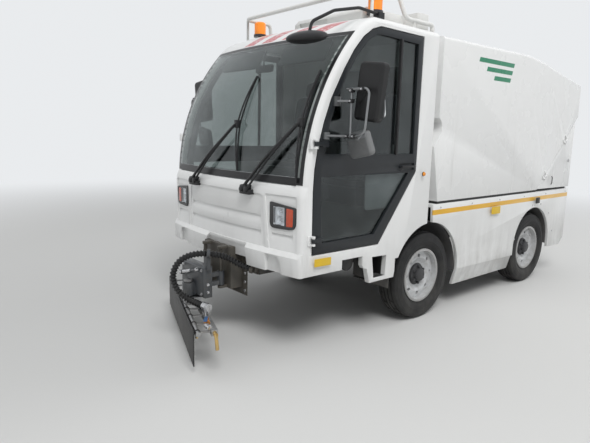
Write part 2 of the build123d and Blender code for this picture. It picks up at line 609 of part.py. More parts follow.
def mirror_set():
    """The left mirrors: a bent tube on two door brackets, with a tall head and a wide-angle head."""
    tube_x, inner_y, outer_y = MIRROR_X + 88, HALF_WIDTH + 58, MIRROR_REACH_Y - 45
    span = outer_y - inner_y
    low_z, high_z = 1568.0, 1878.0
    tube = bent_tube([(tube_x, inner_y, high_z), (tube_x, outer_y, high_z), (tube_x, outer_y - 0.15 * span, low_z + 20),
                      (tube_x, inner_y + 0.46 * span, low_z), (tube_x, inner_y, low_z)], 8.0,
                     [0.2 * span, 0.29 * span, 0.15 * span])
    post_y = inner_y + 0.225 * span
    post = rod((tube_x, post_y, low_z), (tube_x, post_y, high_z), 7.0)
    upper = rod((tube_x, post_y, 1800), (1158, HALF_WIDTH + 6, 1800), 9.0)
    lower = rod((tube_x, inner_y + 0.1 * span, low_z), (1250, HALF_WIDTH + 6, low_z), 9.0)
    pads = [block(1130, 1186, HALF_WIDTH, HALF_WIDTH + 12, 1768, 1832),
            block(1225, 1272, HALF_WIDTH, HALF_WIDTH + 12, 1545, 1592)]
    frame = joined([tube, post, upper, lower, *pads]) - block(1000, 1400, 0, HALF_WIDTH, 1400, 2000)
    head_y = MIRROR_REACH_Y - MIRROR_WIDTH / 2 - 10
    head = extrude(Plane.YZ * RectangleRounded(MIRROR_WIDTH, MIRROR_HEIGHT, 34), amount=MIRROR_DEPTH)
    head = fillet(head.faces().sort_by(Axis.X)[-1].edges(), 22)
    head = Pos(MIRROR_X - MIRROR_DEPTH / 2, head_y, 1862) * Rot(-7, 0, 0) * head
    stay_y = inner_y + 0.7 * span
    stay = rod((MIRROR_X, stay_y, high_z - 6), (tube_x, stay_y, high_z - 2), 10.0)
    wide = extrude(Plane.YZ * RectangleRounded(196, 176, 30), amount=48)
    wide = fillet(wide.faces().sort_by(Axis.X)[-1].edges(), 18)
    wide = Pos(MIRROR_X - 6, head_y - 62, 1520) * Rot(12, 14, 0) * wide
    wide_y = inner_y + 0.39 * span
    wide_stay = rod((MIRROR_X + 20, wide_y, low_z - 28), (tube_x, wide_y, low_z), 11.0)
    return joined([frame, head, stay, wide, wide_stay])


def cab_fittings():
    """What is inside the cab and shows through its glass: seats, dashboard, wheel and visor."""
    seats = []
    for y in (-400.0, 400.0):
        base = block(250, 620, y - 190, y + 190, 1000, 1210)
        cushion = block(215, 705, y - 240, y + 240, 1210, 1320)
        back = Pos(245, y, 1600) * Rot(0, -12, 0) * Box(110, 470, 660)
        rest = Pos(168, y, 1990) * Rot(0, -12, 0) * Box(80, 260, 150)
        post = Pos(180, y, 1925) * Rot(0, -12, 0) * Box(16, 120, 60)
        seats.append(fillet(cushion.edges(), 30) + fillet(back.edges(), 30) + fillet(rest.edges(), 28) + post + base)
    nodes["seats"] = Compound(solids_of(seats))
    dash_face = [(1462, CAB_FLOOR_Z + FLOOR_THICK), (1462, 1215), (1250, 1262), (1120, 1235), (1100, 1130), (1250, 1040),
                 (1330, CAB_FLOOR_Z + FLOOR_THICK)]
    dash = side_prism(dash_face, -CAB_SPLIT_Y + 20, CAB_SPLIT_Y - 20) & cab_body(CAB_WALL)
    binnacle = side_prism([(1180, 1240), (1300, 1245), (1260, 1330), (1200, 1330)], 230, 570)
    nodes["dashboard"] = dash + binnacle
    wheel_x, wheel_y, wheel_z, tilt = 985.0, 400.0, 1420.0, -35.0
    ring = Torus(205, 15)
    hub = Cylinder(60, 34) + Pos(0, 0, -12) * Box(400, 46, 12) + Pos(0, 100, -12) * Box(46, 200, 12)
    turned = Pos(wheel_x, wheel_y, wheel_z) * Rot(0, tilt, 0) * (ring + hub)
    column = rod((wheel_x + 10, wheel_y, wheel_z - 14), (1190, wheel_y, 1150), 32)
    nodes["steering_wheel"] = turned + (column - nodes["dashboard"])


def wipers():
    """Two wipers: a motor box on the cowl, a pair of arms and an upright blade on the glass."""
    parts = []
    for foot_y, blade_y in ((-395.0, -35.0), (350.0, 705.0)):
        foot = block(1500, 1546, foot_y - 62, foot_y + 62, 1132, 1196) & block(1400, 1600, -900, 900, 0, 3000)
        foot = foot - cab_body(0)
        arm_top = (screen_x(1690, blade_y) + 38, blade_y - 14, 1690)
        arms = [rod((1534, foot_y - 24, 1165), arm_top, 10), rod((1534, foot_y + 34, 1165), (arm_top[0], arm_top[1] + 30, 1664), 8)]
        low = (screen_x(1500, blade_y) + 18, blade_y - 16, 1500)
        high = (screen_x(2020, blade_y) + 18, blade_y + 34, 2020)
        middle = (screen_x(1780, blade_y) + 18, blade_y + 8, 1780)
        blade = rod(low, middle, 9) + rod(middle, high, 9) + Pos(*middle) * Sphere(10)
        link = rod(arm_top, (screen_x(1720, blade_y) + 18, blade_y + 2, 1720), 12)
        parts.append(joined([foot, *arms, link, blade]) - cab_body(0))
    return Compound(solids_of(parts))


def screen_x(z, y):
    """How far forward the windscreen's outside lies at a height and a distance off the middle."""
    low, high = (CAB_NOSE_X - 26, SCREEN_LOW_Z), (SCREEN_TOP_X, SCREEN_TOP_Z)
    chord = math.dist(low, high)
    radius = chord ** 2 / (8 * 102.0) + 51.0
    middle = ((low[0] + high[0]) / 2, (low[1] + high[1]) / 2)
    normal = ((high[1] - low[1]) / chord, (low[0] - high[0]) / chord)
    centre = (middle[0] - normal[0] * (radius - 102.0), middle[1] - normal[1] * (radius - 102.0))
    flat_x = centre[0] + math.sqrt(radius ** 2 - (z - centre[1]) ** 2)
    reach = flat_x - (CAB_NOSE_X - CAB_BOW_RADIUS)
    return math.sqrt(reach ** 2 - y ** 2) + CAB_NOSE_X - CAB_BOW_RADIUS


def roof_pieces():
    """What stands on the cab roof: beacons, tube guard, cooling unit, rear duct and front mirror."""
    lenses, guard = [], []
    for side in (-1, 1):
        x, y = BEACON_X, side * BEACON_Y
        dome = Pos(x, y, BEACON_BASE_Z + BEACON_HEIGHT / 2) * Cylinder(BEACON_RADIUS, BEACON_HEIGHT)
        dome = fillet(dome.edges().group_by(Axis.Z)[-1], 26)
        foot = Pos(x, y, BEACON_BASE_Z - 12) * Cylinder(BEACON_RADIUS + 6, 24)
        stem = rod((x, y, ROOF_REAR_Z), (x, y, BEACON_BASE_Z - 12), 16)
        lenses.append(dome + foot + (stem - cab_body(0)))
    nodes["beacons"] = Compound(solids_of(lenses))
    y = GUARD_Y
    loop = bent_tube([(60, y, 2398), (60, y, GUARD_LOW_Z), (400, y, GUARD_LOW_Z), (450, y - 40, GUARD_TOP_Z),
                      (760, y - 60, GUARD_TOP_Z), (760, -y + 60, GUARD_TOP_Z), (450, -y + 40, GUARD_TOP_Z),
                      (400, -y, GUARD_LOW_Z), (60, -y, GUARD_LOW_Z), (60, -y, 2398)], GUARD_RADIUS,
                     [30, 60, 50, 90, 90, 50, 60, 30])
    legs = [rod((725, side * (y - 56), 2380), (725, side * (y - 56), GUARD_TOP_Z), 12) for side in (-1, 1)]
    for side in (-1, 1):
        legs.append(rod((300, side * y, 2380), (300, side * y, GUARD_LOW_Z), 12))
    nodes["roof_guard"] = joined([loop, *legs]) - cab_body(0, CAB_EDGE_RADIUS)
    cooler = block(190, 680, -140, 640, 2400, 2530)
    cooler = chamfer(cooler.edges().filter_by(Axis.Y).group_by(Axis.Z)[-1], 40)
    cooler -= block(660, 700, -80, 260, 2440, 2490)
    duct = block(CAB_REAR_X + 6, 180, -700, 780, 2390, 2540)
    duct = fillet(duct.edges().filter_by(Axis.Z), 20)
    nodes["roof_cooler"] = (cooler + duct) - cab_body(0)
    mirror_head = Pos(1335, 765, 2205) * Rot(0, 10, -8) * scale(Sphere(100), by=(1.55, 1.0, 0.42))
    arm = bent_tube([(680, 812, 2440), (900, 812, 2452), (1130, 800, 2400), (1300, 770, 2310), (1325, 765, 2215)],
                    11.0, [120, 120, 60])
    foot = block(655, 712, 794, 836, 2380, 2452)
    nodes["front_mirror"] = joined([mirror_head, arm, foot]) - cab_body(0, CAB_EDGE_RADIUS)


# Tank body
def tank_hood():
    """The water tank: a tall closed moulding with a sloped tail and a slanted rear underside."""
    x0 = TANK_FRONT_X
    with BuildLine() as line:
        Line((x0 - 52, TANK_BOTTOM_Z), (x0 + 46, 1495))
        Line((x0 + 46, 1495), (x0 - 18, 1580))
        ThreePointArc((x0 - 18, 1580), (x0 - 50, 1655), (x0, 1728))
        Line((x0, 1728), (x0, TANK_TOP_Z))
        Line((x0, TANK_TOP_Z), (x0 - 1420, TANK_TOP_Z + 8))
        ThreePointArc((x0 - 1420, TANK_TOP_Z + 8), (x0 - 1740, TANK_TOP_Z - 20), (x0 - 2050, TANK_TOP_Z - 74))
        Line((x0 - 2050, TANK_TOP_Z - 74), (TANK_REAR_X + 12, TANK_TOP_Z - 193))
        Line((TANK_REAR_X + 12, TANK_TOP_Z - 193), (TANK_REAR_X, 1856))
        Line((TANK_REAR_X, 1856), (BODY_REAR_X - 2, 1776))
        Line((BODY_REAR_X - 2, 1776), (BODY_REAR_X + 81, 1692))
        Line((BODY_REAR_X + 81, 1692), (BODY_REAR_X + 810, TANK_BOTTOM_Z))
        Line((BODY_REAR_X + 810, TANK_BOTTOM_Z), (x0 - 52, TANK_BOTTOM_Z))
    tank = side_prism(make_face(line.edges()), -HALF_WIDTH, HALF_WIDTH)
    top = [edge for face in tank.faces().filter_by(Axis.Y) for edge in face.edges()
           if edge.bounding_box().min.Z > 1850]
    return fillet(top, TANK_EDGE_RADIUS)


def lower_body():
    """The body under the tank: two skirted sides with wheel arches, a deck and the tall rear wall."""
    front, w, t = TANK_FRONT_X, HALF_WIDTH, BODY_WALL
    side = side_prism([(front, BODY_TOP_Z), (front - 40, SKIRT_FOLD_Z), (BODY_REAR_X + 371, 348), (BODY_REAR_X + 97, 340),
                       (BODY_REAR_X, 414), (BODY_REAR_X, BODY_TOP_Z)], w - t, w)
    skirt = front_prism([(w, SKIRT_FOLD_Z), (w - SKIRT_TUCK, SKIRT_LOW_Z), (w - SKIRT_TUCK - t, SKIRT_LOW_Z), (w - t, SKIRT_FOLD_Z)],
                        -1500, -405)
    side = side + skirt
    for x, z, radius in ((FRONT_ARCH_X, FRONT_ARCH_Z, FRONT_ARCH_RADIUS), (REAR_AXLE_X, REAR_ARCH_Z, REAR_ARCH_RADIUS)):
        side -= Pos(x, 0, z) * Rot(90, 0, 0) * Cylinder(radius, 2200)
        side -= block(x - radius, x + radius, 0, w + 1, 0, z)
    deck = block(BODY_REAR_X, front, -w + t, w - t, BODY_TOP_Z - t, BODY_TOP_Z)
    rear = block(BODY_REAR_X, BODY_REAR_X + t, -w, w, 414, BODY_TOP_Z)
    upper = block(BODY_REAR_X, BODY_REAR_X + t, -w + SIDE_DOOR_THICK + SIDE_DOOR_GAP, w - SIDE_DOOR_THICK - SIDE_DOOR_GAP,
                  BODY_TOP_Z, BODY_UPPER_Z)
    rear -= block(BODY_REAR_X - 10, BODY_REAR_X + 60, -120, 120, 400, 690)
    body = joined([side, mirrored(side), deck, rear, upper])
    return body


def rubber_strip():
    """The seal between the tank and the body below it."""
    w = HALF_WIDTH - 6
    front = TANK_FRONT_X - 55
    back = BODY_REAR_X + 812
    outer = block(back, front, -w, w, BODY_TOP_Z, TANK_BOTTOM_Z)
    outer -= block(back + 60, front - 60, -w + 60, w - 60, BODY_TOP_Z - 1, TANK_BOTTOM_Z + 1)
    rails = [block(BODY_REAR_X + BODY_WALL, back, w - 60, w - SIDE_DOOR_THICK, BODY_TOP_Z, TANK_BOTTOM_Z - SIDE_DOOR_GAP)]
    return joined([outer, *rails, *[mirrored(r) for r in rails]])


HATCH_SEAM = ((BODY_REAR_X + 81, 1692.0), (BODY_REAR_X + 810, TANK_BOTTOM_Z))


def side_hatch():
    """The left rear locker door: a triangle hinged along its slanted front edge."""
    gap = SIDE_DOOR_GAP
    (x_top, z_top), (x_low, z_low) = HATCH_SEAM
    length = math.dist((x_top, z_top), (x_low, z_low))
    away = ((z_low - z_top) / length * gap, (x_top - x_low) / length * gap)
    outline = [(x_top + away[0], z_top + away[1]), (x_low + away[0] - 12, z_low + away[1] + 11), (BODY_REAR_X, z_low),
               (BODY_REAR_X, 1752)]
    panel = side_prism(outline, HALF_WIDTH - SIDE_DOOR_THICK, HALF_WIDTH)
    axis_z = SIDE_HINGE_OUT
    for h in SIDE_HINGE_SPOTS:
        knuckle_bar = rod((h - 20, 0, axis_z), (h + 20, 0, axis_z), SIDE_HINGE_EYE) + block(h - 20, h + 20, 1, 46, 0, 8)
        knuckle_bar -= rod((h - 60, 0, axis_z), (h + 60, 0, axis_z), SIDE_HINGE_PIN + BEARING_CLEARANCE)
        panel += seam_plane().location * knuckle_bar
    return panel


def seam_plane():
    """The slanted seam on the left side: x down along it, y towards the locker door and z outwards."""
    (x_top, z_top), (x_low, z_low) = HATCH_SEAM
    middle = ((x_top + x_low) / 2, HALF_WIDTH, (z_top + z_low) / 2)
    return Plane(origin=middle, x_dir=(x_low - x_top, 0, z_low - z_top), z_dir=(0, 1, 0))


def side_hinge_halves():
    """The tank's half of each locker hinge: two end eyes on their leaves and the pin."""
    pieces = []
    axis_z = SIDE_HINGE_OUT
    for h in SIDE_HINGE_SPOTS:
        part = rod((h - 44, 0, axis_z), (h + 44, 0, axis_z), SIDE_HINGE_PIN)
        for low, high in ((h - 44, h - 26), (h + 26, h + 44)):
            part += rod((low, 0, axis_z), (high, 0, axis_z), SIDE_HINGE_EYE) + block(low, high, -46, -1, 0, 8)
        pieces.append(seam_plane().location * part)
    return pieces


def pump_unit():
    """The water pump behind the side lockers: a block with its motor and two flanges."""
    base, front, back = BODY_TOP_Z, BODY_REAR_X + 420, BODY_REAR_X + 130
    unit = block(back, front, -300, 120, base, base + 40) + block(back + 30, front - 40, -260, -40, base + 40, base + 270)
    unit += cross_rod((back + front) / 2, base + 165, 85, -40, 110)
    return unit + block(back + 60, front - 60, 100, 118, base, base + 240)


def arch_liners():
    """The inner wheel arches: a half-round sheet over each wheel."""
    liners = []
    arches = ((FRONT_ARCH_X, FRONT_ARCH_Z, FRONT_ARCH_RADIUS + LINER_THICK, HALF_WIDTH - CAB_WALL),
              (REAR_AXLE_X, REAR_ARCH_Z, REAR_ARCH_RADIUS + LINER_THICK, HALF_WIDTH - BODY_WALL))
    for x, z, radius, reach_y in arches:
        outer = cross_rod(x, z, radius, LINER_INNER_Y, reach_y)
        inner = Pos(x, 0, z) * Rot(90, 0, 0) * Cylinder(radius - LINER_THICK, 2200)
        half = (outer - inner) & block(x - 600, x + 600, 0, 1000, z - 40, z + 600)
        liners.append(half)
    return Compound([s for liner in liners for s in (*solids_of(liner), *solids_of(mirrored(liner)))])


def build_bar_mount():
    """The carriage mount: a box bolted to the rails, a back plate and two upright guide rods."""
    w, low, high = MOUNT_HALF_WIDTH, MOUNT_LOW_Z, MOUNT_TOP_Z
    box = block(MOUNT_BACK_X, MOUNT_FRONT_X, -w, w, low, high)
    box -= block(MOUNT_BACK_X - 1, MOUNT_FRONT_X - 12, -w + 12, w - 12, low + 12, high - 12)
    for y in (-90.0, 0.0, 90.0):
        box -= block(MOUNT_BACK_X + 26, MOUNT_FRONT_X - 26, y - 30, y + 30, high - 20, high + 1)
    plate = block(RAIL_FRONT_X, MOUNT_BACK_X, -RAIL_Y - 20, RAIL_Y + 20, RAIL_TOP_Z - RAIL_HEIGHT, RAIL_TOP_Z)
    plate += block(RAIL_FRONT_X, MOUNT_BACK_X, -w - 70, w + 70, 322, RAIL_TOP_Z)
    box += plate
    start = Vector(*HOSE_START)
    way = (Vector(*FEED_ROUTE[1]) - start).normalized()
    box += rod((MOUNT_BACK_X - 1, HOSE_START[1] - 4, HOSE_START[2]), (HOSE_START[0] - 2, HOSE_START[1] - 4, HOSE_START[2]),
               HOSE_RADIUS + 4)
    box += rod(start - way * 6, start + way * 18, HOSE_RADIUS + HOSE_WALL)
    box -= rod(start, start + way * 40, HOSE_RADIUS)
    for side in (-1, 1):
        y = side * GUIDE_Y
        box += Pos(GUIDE_X, y, (low + high) / 2) * Cylinder(GUIDE_RADIUS, high - low)
        for z in (low + 10, high - 10):
            box += block(MOUNT_FRONT_X, GUIDE_X, y - 24, y + 24, z - 10, z + 10)
            box += Pos(GUIDE_X, y, z) * Cylinder(24, 20)
    return box


def build_bar_head():
    """The carriage: two sleeves on the guide rods, arms, the head box and the swing bearing."""
    sleeve_low = MOUNT_LOW_Z + 20 + JOINT_GAP
    pieces = []
    for side in (-1, 1):
        y = side * GUIDE_Y
        pieces.append(Pos(GUIDE_X, y, sleeve_low + SLEEVE_HEIGHT / 2) * Cylinder(SLEEVE_RADIUS, SLEEVE_HEIGHT))
        for z in (sleeve_low + 20, sleeve_low + SLEEVE_HEIGHT - 20):
            pieces.append(block(GUIDE_X, HEAD_BACK_X, y - 16, y + 16, z - 16, z + 16))
    head = block(HEAD_BACK_X, HEAD_BACK_X + HEAD_DEPTH, -HEAD_HALF_WIDTH, HEAD_HALF_WIDTH, HEAD_LOW_Z, HEAD_TOP_Z)
    head = chamfer(head.edges().filter_by(Axis.Y).group_by(Axis.X)[-1], 12)
    pieces.append(head)
    pieces.append(Pos(PIVOT_X, 0, HEAD_LOW_Z + 50) * Cylinder(46, 100))
    pieces.append(block(HEAD_BACK_X + HEAD_DEPTH - 4, PIVOT_X, -40, 40, HEAD_LOW_Z, HEAD_LOW_Z + 90))
    front = HEAD_BACK_X + HEAD_DEPTH
    pieces.append(block(front - 2, front + 34, 92, 118, 540, 570))
    pieces.append(block(front - 2, front + 34, -150, -120, 470, 500))
    pieces.append(rod((front + 24, 105, 555), (front + 24, -135, 485), 8))
    clip_x, clip_y, clip_z = HOSE_CLIP
    pieces.append(block(clip_x - 14, clip_x + 14, HEAD_HALF_WIDTH - 24, clip_y + 10, HEAD_TOP_Z - 20, clip_z - HOSE_RADIUS - 3))
    pieces.append(clip_ring(HOSE_RADIUS + HOSE_WALL, 12))
    body = joined(pieces)
    for side in (-1, 1):
        body -= Pos(GUIDE_X, side * GUIDE_Y, sleeve_low + SLEEVE_HEIGHT / 2) * Cylinder(GUIDE_RADIUS + GUIDE_CLEARANCE, SLEEVE_HEIGHT + 2)
    body -= Pos(PIVOT_X, 0, HEAD_LOW_Z + 50) * Cylinder(PIVOT_RADIUS + BEARING_CLEARANCE, 102)
    return body - clip_ring(HOSE_RADIUS, 60)


def clip_ring(radius, half_length):
    """A round bar along the hose's way through its clip on the head."""
    middle, way = Vector(*HOSE_CLIP), Vector(*HOSE_CLIP_WAY).normalized() * half_length
    a, b = middle - way, middle + way
    return rod((a.X, a.Y, a.Z), (b.X, b.Y, b.Z), radius)


def bar_place(u, v, z):
    """A point of the spray bar: u along it to the left, v ahead of its middle line, and its height."""
    spot = Vector(PIVOT_X, 0, 0) + bar_left * u + bar_forward * v
    return (spot.X, spot.Y, z)


def on_bar(solid):
    """A piece laid out along Y at the origin, turned and moved onto the spray bar's middle."""
    return Pos(PIVOT_X, 0, 0) * Rot(0, 0, -BAR_ANGLE) * solid


def build_spray_bar():
    """The bar: a square carrier tube and a round spray pipe joined by ties, with the swing pin."""
    half, size = BAR_LENGTH / 2, REAR_TUBE_SIZE
    pieces = [block(REAR_TUBE_V - size / 2, REAR_TUBE_V + size / 2, -half, half, BAR_Z - size / 2, BAR_Z + size / 2)]
    pieces.append(cross_rod(SPRAY_PIPE_V, BAR_Z, SPRAY_PIPE_RADIUS, -half, half))
    for i in range(BAR_TIES):
        y = -half + 40 + (BAR_LENGTH - 80) / (BAR_TIES - 1) * i
        pieces.append(block(REAR_TUBE_V, SPRAY_PIPE_V, y - 6, y + 6, BAR_Z - 6, BAR_Z + 6))
    table_top = HEAD_LOW_Z - JOINT_GAP
    pieces.append(block(REAR_TUBE_V - 20, SPRAY_PIPE_V + 10, -70, 70, BAR_Z, table_top))
    pieces.append(block(REAR_TUBE_V - 40, REAR_TUBE_V + 2, 284, 312, BAR_Z - 2, HOSE_END_ON_BAR[2] + 8))
    pieces.append(Pos(0, 0, (table_top + HEAD_LOW_Z + 100) / 2 - 2) * Cylinder(PIVOT_RADIUS, HEAD_LOW_Z + 100 - table_top + 4))
    pieces.append(Pos(0, 0, HEAD_LOW_Z + 100 + JOINT_GAP + 8) * Cylinder(34, 16))
    pieces.append(Pos(0, 0, HEAD_LOW_Z + 100 + 6) * Cylinder(PIVOT_RADIUS, 16))
    end = Vector(*bar_place(*HOSE_END_ON_BAR))
    way = (end - Vector(*bar_place(*HOSE_BEND_ON_BAR))).normalized()
    return on_bar(joined(pieces)) + rod(end, end + way * 42, HOSE_RADIUS - 4)


def bar_flap():
    """The rubber flap that hangs ahead of the spray pipe, on a steel strip."""
    half = BAR_LENGTH / 2
    flap = block(FLAP_V, FLAP_V + FLAP_THICK, -half, half, FLAP_LOW_Z, FLAP_TOP_Z)
    brackets = [block(SPRAY_PIPE_V + 8, FLAP_V, y - 15, y + 15, BAR_Z - 5, BAR_Z + 5) for y in (-half + 60, -200, 200, half - 60)]
    return on_bar(joined([flap, *[b - cross_rod(SPRAY_PIPE_V, BAR_Z, SPRAY_PIPE_RADIUS, -half, half) for b in brackets]]))


def spray_nozzles():
    """Brass nozzles under the spray pipe and the end group on its left."""
    half = BAR_LENGTH / 2
    parts = []
    for i in range(NOZZLES):
        y = -half + 60 + (BAR_LENGTH - 120) / (NOZZLES - 1) * i
        low = BAR_Z - SPRAY_PIPE_RADIUS
        parts.append(Pos(SPRAY_PIPE_V, y, low - 14) * Cylinder(9, 30) - cross_rod(SPRAY_PIPE_V, BAR_Z, SPRAY_PIPE_RADIUS, -half, half))
    end = rod((REAR_TUBE_V, half, BAR_Z), (REAR_TUBE_V, half + 46, BAR_Z), 15)
    end += rod((REAR_TUBE_V, half + 40, BAR_Z + 8), (REAR_TUBE_V - 6, half + 58, BAR_Z - 96), 12)
    parts.append(end)
    return Compound([s for part in parts for s in solids_of(on_bar(part))])


def along_clip(distance):
    """A point of the hose's line through its clip, ahead of the clip or behind it."""
    spot = Vector(*HOSE_CLIP) + Vector(*HOSE_CLIP_WAY).normalized() * distance
    return (spot.X, spot.Y, spot.Z)


FEED_ROUTE = [HOSE_START, (1525, 302, 584), (1606, 236, 649), along_clip(-58), HOSE_CLIP]
DROP_ROUTE = [HOSE_CLIP, along_clip(91), (1922.7, 66, 640.9), (1967, 29, 520.5), (1936, 55.5, 393.4),
              bar_place(*HOSE_BEND_ON_BAR), bar_place(*HOSE_END_ON_BAR)]


def hose(route):
    """A free hose: straight runs joined by the widest arcs that their lengths allow."""
    points = [Vector(*p) for p in route]
    radii = []
    for a, b, c in zip(points, points[1:], points[2:]):
        turn = math.radians((b - a).get_angle(c - b))
        radii.append(0.45 * min((b - a).length, (c - b).length) / math.tan(turn / 2))
    print("hose bend radii", [round(r) for r in radii])
    path = FilletPolyline(*route, radius=radii)
    tube = sweep(Plane(origin=path @ 0, z_dir=path % 0) * Circle(HOSE_RADIUS), path=path)
    print("hose volume over section times length", tube.volume / (math.pi * HOSE_RADIUS ** 2 * path.length))
    return tube


def build_all():
    """Every node of the truck, in lengths from the front axle."""
    put_wheels()
    nodes["knuckle_left"] = knuckle()
    nodes["knuckle_right"] = mirrored(nodes["knuckle_left"])
    nodes["tie_rod"] = tie_rod()
    nodes["front_axle"] = front_axle()
    nodes["rear_axle"] = rear_axle()
    nodes["chassis_frame"] = chassis_frame()
    cab_pieces()
    nodes["headlamps"] = headlamps()
    for piece in hinge_pillar_halves():
        nodes["cab_side_left"] += piece
    nodes["cab_side_right"] = mirrored(nodes["cab_side_left"])
    nodes["door_left"] = door()
    nodes["door_right"] = mirrored(nodes["door_left"])
    nodes["door_glass_left"] = door_glass()
    nodes["door_glass_right"] = mirrored(nodes["door_glass_left"])
    nodes["mirrors_left"] = mirror_set()
    nodes["mirrors_right"] = mirrored(nodes["mirrors_left"])
    cab_fittings()
    nodes["wipers"] = wipers()
    roof_pieces()
    nodes["tank_hood"] = tank_hood()
    for piece in side_hinge_halves():
        nodes["tank_hood"] += piece
        nodes["tank_hood"] += mirrored(piece)
    nodes["lower_body"] = lower_body()
    nodes["rubber_strip"] = rubber_strip()
    nodes["side_hatch_left"] = side_hatch()
    nodes["side_hatch_right"] = mirrored(nodes["side_hatch_left"])
    nodes["arch_liners"] = arch_liners()
    nodes["pump_unit"] = pump_unit()
    nodes["engine"] = block(-950, -260, -300, 300, ENGINE_LOW_Z, BODY_TOP_Z - BODY_WALL - 60)
    nodes["bar_mount"] = build_bar_mount()
    nodes["bar_head"] = build_bar_head()
    nodes["spray_bar"] = build_spray_bar()
    nodes["bar_flap"] = bar_flap()
    nodes["spray_nozzles"] = spray_nozzles()
    nodes["hose_feed"] = hose(FEED_ROUTE)
    nodes["hose_drop"] = hose(DROP_ROUTE)


build_all()
os.makedirs("parts", exist_ok=True)
for name, shape in nodes.items():
    export_step(Pos(FRONT_AXLE_X, 0, 0) * Compound(solids_of(shape)), f"parts/{name}.step")
print("front axle at X =", round(FRONT_AXLE_X, 3), "and nodes:", len(nodes))
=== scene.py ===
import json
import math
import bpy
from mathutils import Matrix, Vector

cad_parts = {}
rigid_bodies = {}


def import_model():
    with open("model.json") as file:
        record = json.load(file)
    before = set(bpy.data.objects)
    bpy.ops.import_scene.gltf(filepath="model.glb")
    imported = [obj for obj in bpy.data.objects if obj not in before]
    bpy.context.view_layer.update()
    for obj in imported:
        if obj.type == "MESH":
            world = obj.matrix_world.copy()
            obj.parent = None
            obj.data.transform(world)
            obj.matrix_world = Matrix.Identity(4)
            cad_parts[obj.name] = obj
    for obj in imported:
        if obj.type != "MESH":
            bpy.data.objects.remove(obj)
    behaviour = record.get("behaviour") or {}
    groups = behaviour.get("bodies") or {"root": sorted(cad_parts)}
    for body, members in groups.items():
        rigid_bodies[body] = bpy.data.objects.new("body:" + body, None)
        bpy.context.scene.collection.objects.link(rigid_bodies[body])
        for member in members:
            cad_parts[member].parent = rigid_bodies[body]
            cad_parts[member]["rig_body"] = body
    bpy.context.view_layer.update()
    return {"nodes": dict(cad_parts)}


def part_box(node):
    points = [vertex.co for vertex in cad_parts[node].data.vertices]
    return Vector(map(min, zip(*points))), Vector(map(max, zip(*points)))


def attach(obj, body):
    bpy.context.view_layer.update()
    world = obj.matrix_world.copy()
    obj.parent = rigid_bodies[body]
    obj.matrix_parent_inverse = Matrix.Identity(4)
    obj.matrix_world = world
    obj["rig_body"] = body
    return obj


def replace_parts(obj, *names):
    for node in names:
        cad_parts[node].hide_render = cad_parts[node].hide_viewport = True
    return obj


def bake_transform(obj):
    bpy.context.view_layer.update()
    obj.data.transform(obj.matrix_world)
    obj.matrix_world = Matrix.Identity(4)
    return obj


bl_info = {
    "name": "Street washer truck dressing",
    "version": (1, 0, 0),
    "blender": (4, 5, 0),
    "location": "View3D > Sidebar > Washer truck",
    "description": "Dresses the street washer truck's frame with its finishes and fine pieces",
    "category": "Object",
}

import bmesh
import bpy
from mathutils import Matrix, Vector

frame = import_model()

# Lengths below are in metres. Stations run forward from the front axle, Y to the truck's left, Z up.
_front_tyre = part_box("tyre_front_left")
_rear_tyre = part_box("tyre_rear_left")
AXLE_X = (_front_tyre[0].x + _front_tyre[1].x) / 2
WHEELBASE = AXLE_X - (_rear_tyre[0].x + _rear_tyre[1].x) / 2
AXLE_Z = (_front_tyre[0].z + _front_tyre[1].z) / 2
HALF_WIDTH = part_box("tank_hood")[1].y

AHEAD = (1, 0, 0)
LEFT = (0, 1, 0)
RIGHT = (0, -1, 0)
UP = (0, 0, 1)

# Bodies that the left and the right piece of a pair ride on
ON_TRUCK = ("vehicle", "vehicle")
ON_DOORS = ("left_door", "right_door")
ON_LOCKERS = ("left_locker", "right_locker")


def at(x, y, z):
    """A point given by its station, in the row frame."""
    return Vector((x + AXLE_X, y, z))


# Shader arithmetic
class Value:
    """A shader socket in Python arithmetic: each operator adds the Math node that it needs."""

    def __init__(self, finish, socket):
        self.finish = finish
        self.socket = socket

    def __add__(self, other):
        return self.finish.maths("ADD", self, other)

    __radd__ = __add__

    def __sub__(self, other):
        return self.finish.maths("SUBTRACT", self, other)

    def __rsub__(self, other):
        return self.finish.maths("SUBTRACT", other, self)

    def __mul__(self, other):
        return self.finish.maths("MULTIPLY", self, other)

    __rmul__ = __mul__

    def __truediv__(self, other):
        return self.finish.maths("DIVIDE", self, other)

    def __lt__(self, other):
        return self.finish.maths("LESS_THAN", self, other)

    def __abs__(self):
        return self.finish.maths("ABSOLUTE", self)

    def fract(self):
        return self.finish.maths("FRACT", self)

    def kept(self):
        """The value held between 0 and 1."""
        return self.finish.node("ShaderNodeClamp", {}, {"Value": self})

    def most(self, other):
        """The larger of two values."""
        return self.finish.maths("MAXIMUM", self, other)

    def least(self, other):
        """The smaller of two values."""
        return self.finish.maths("MINIMUM", self, other)


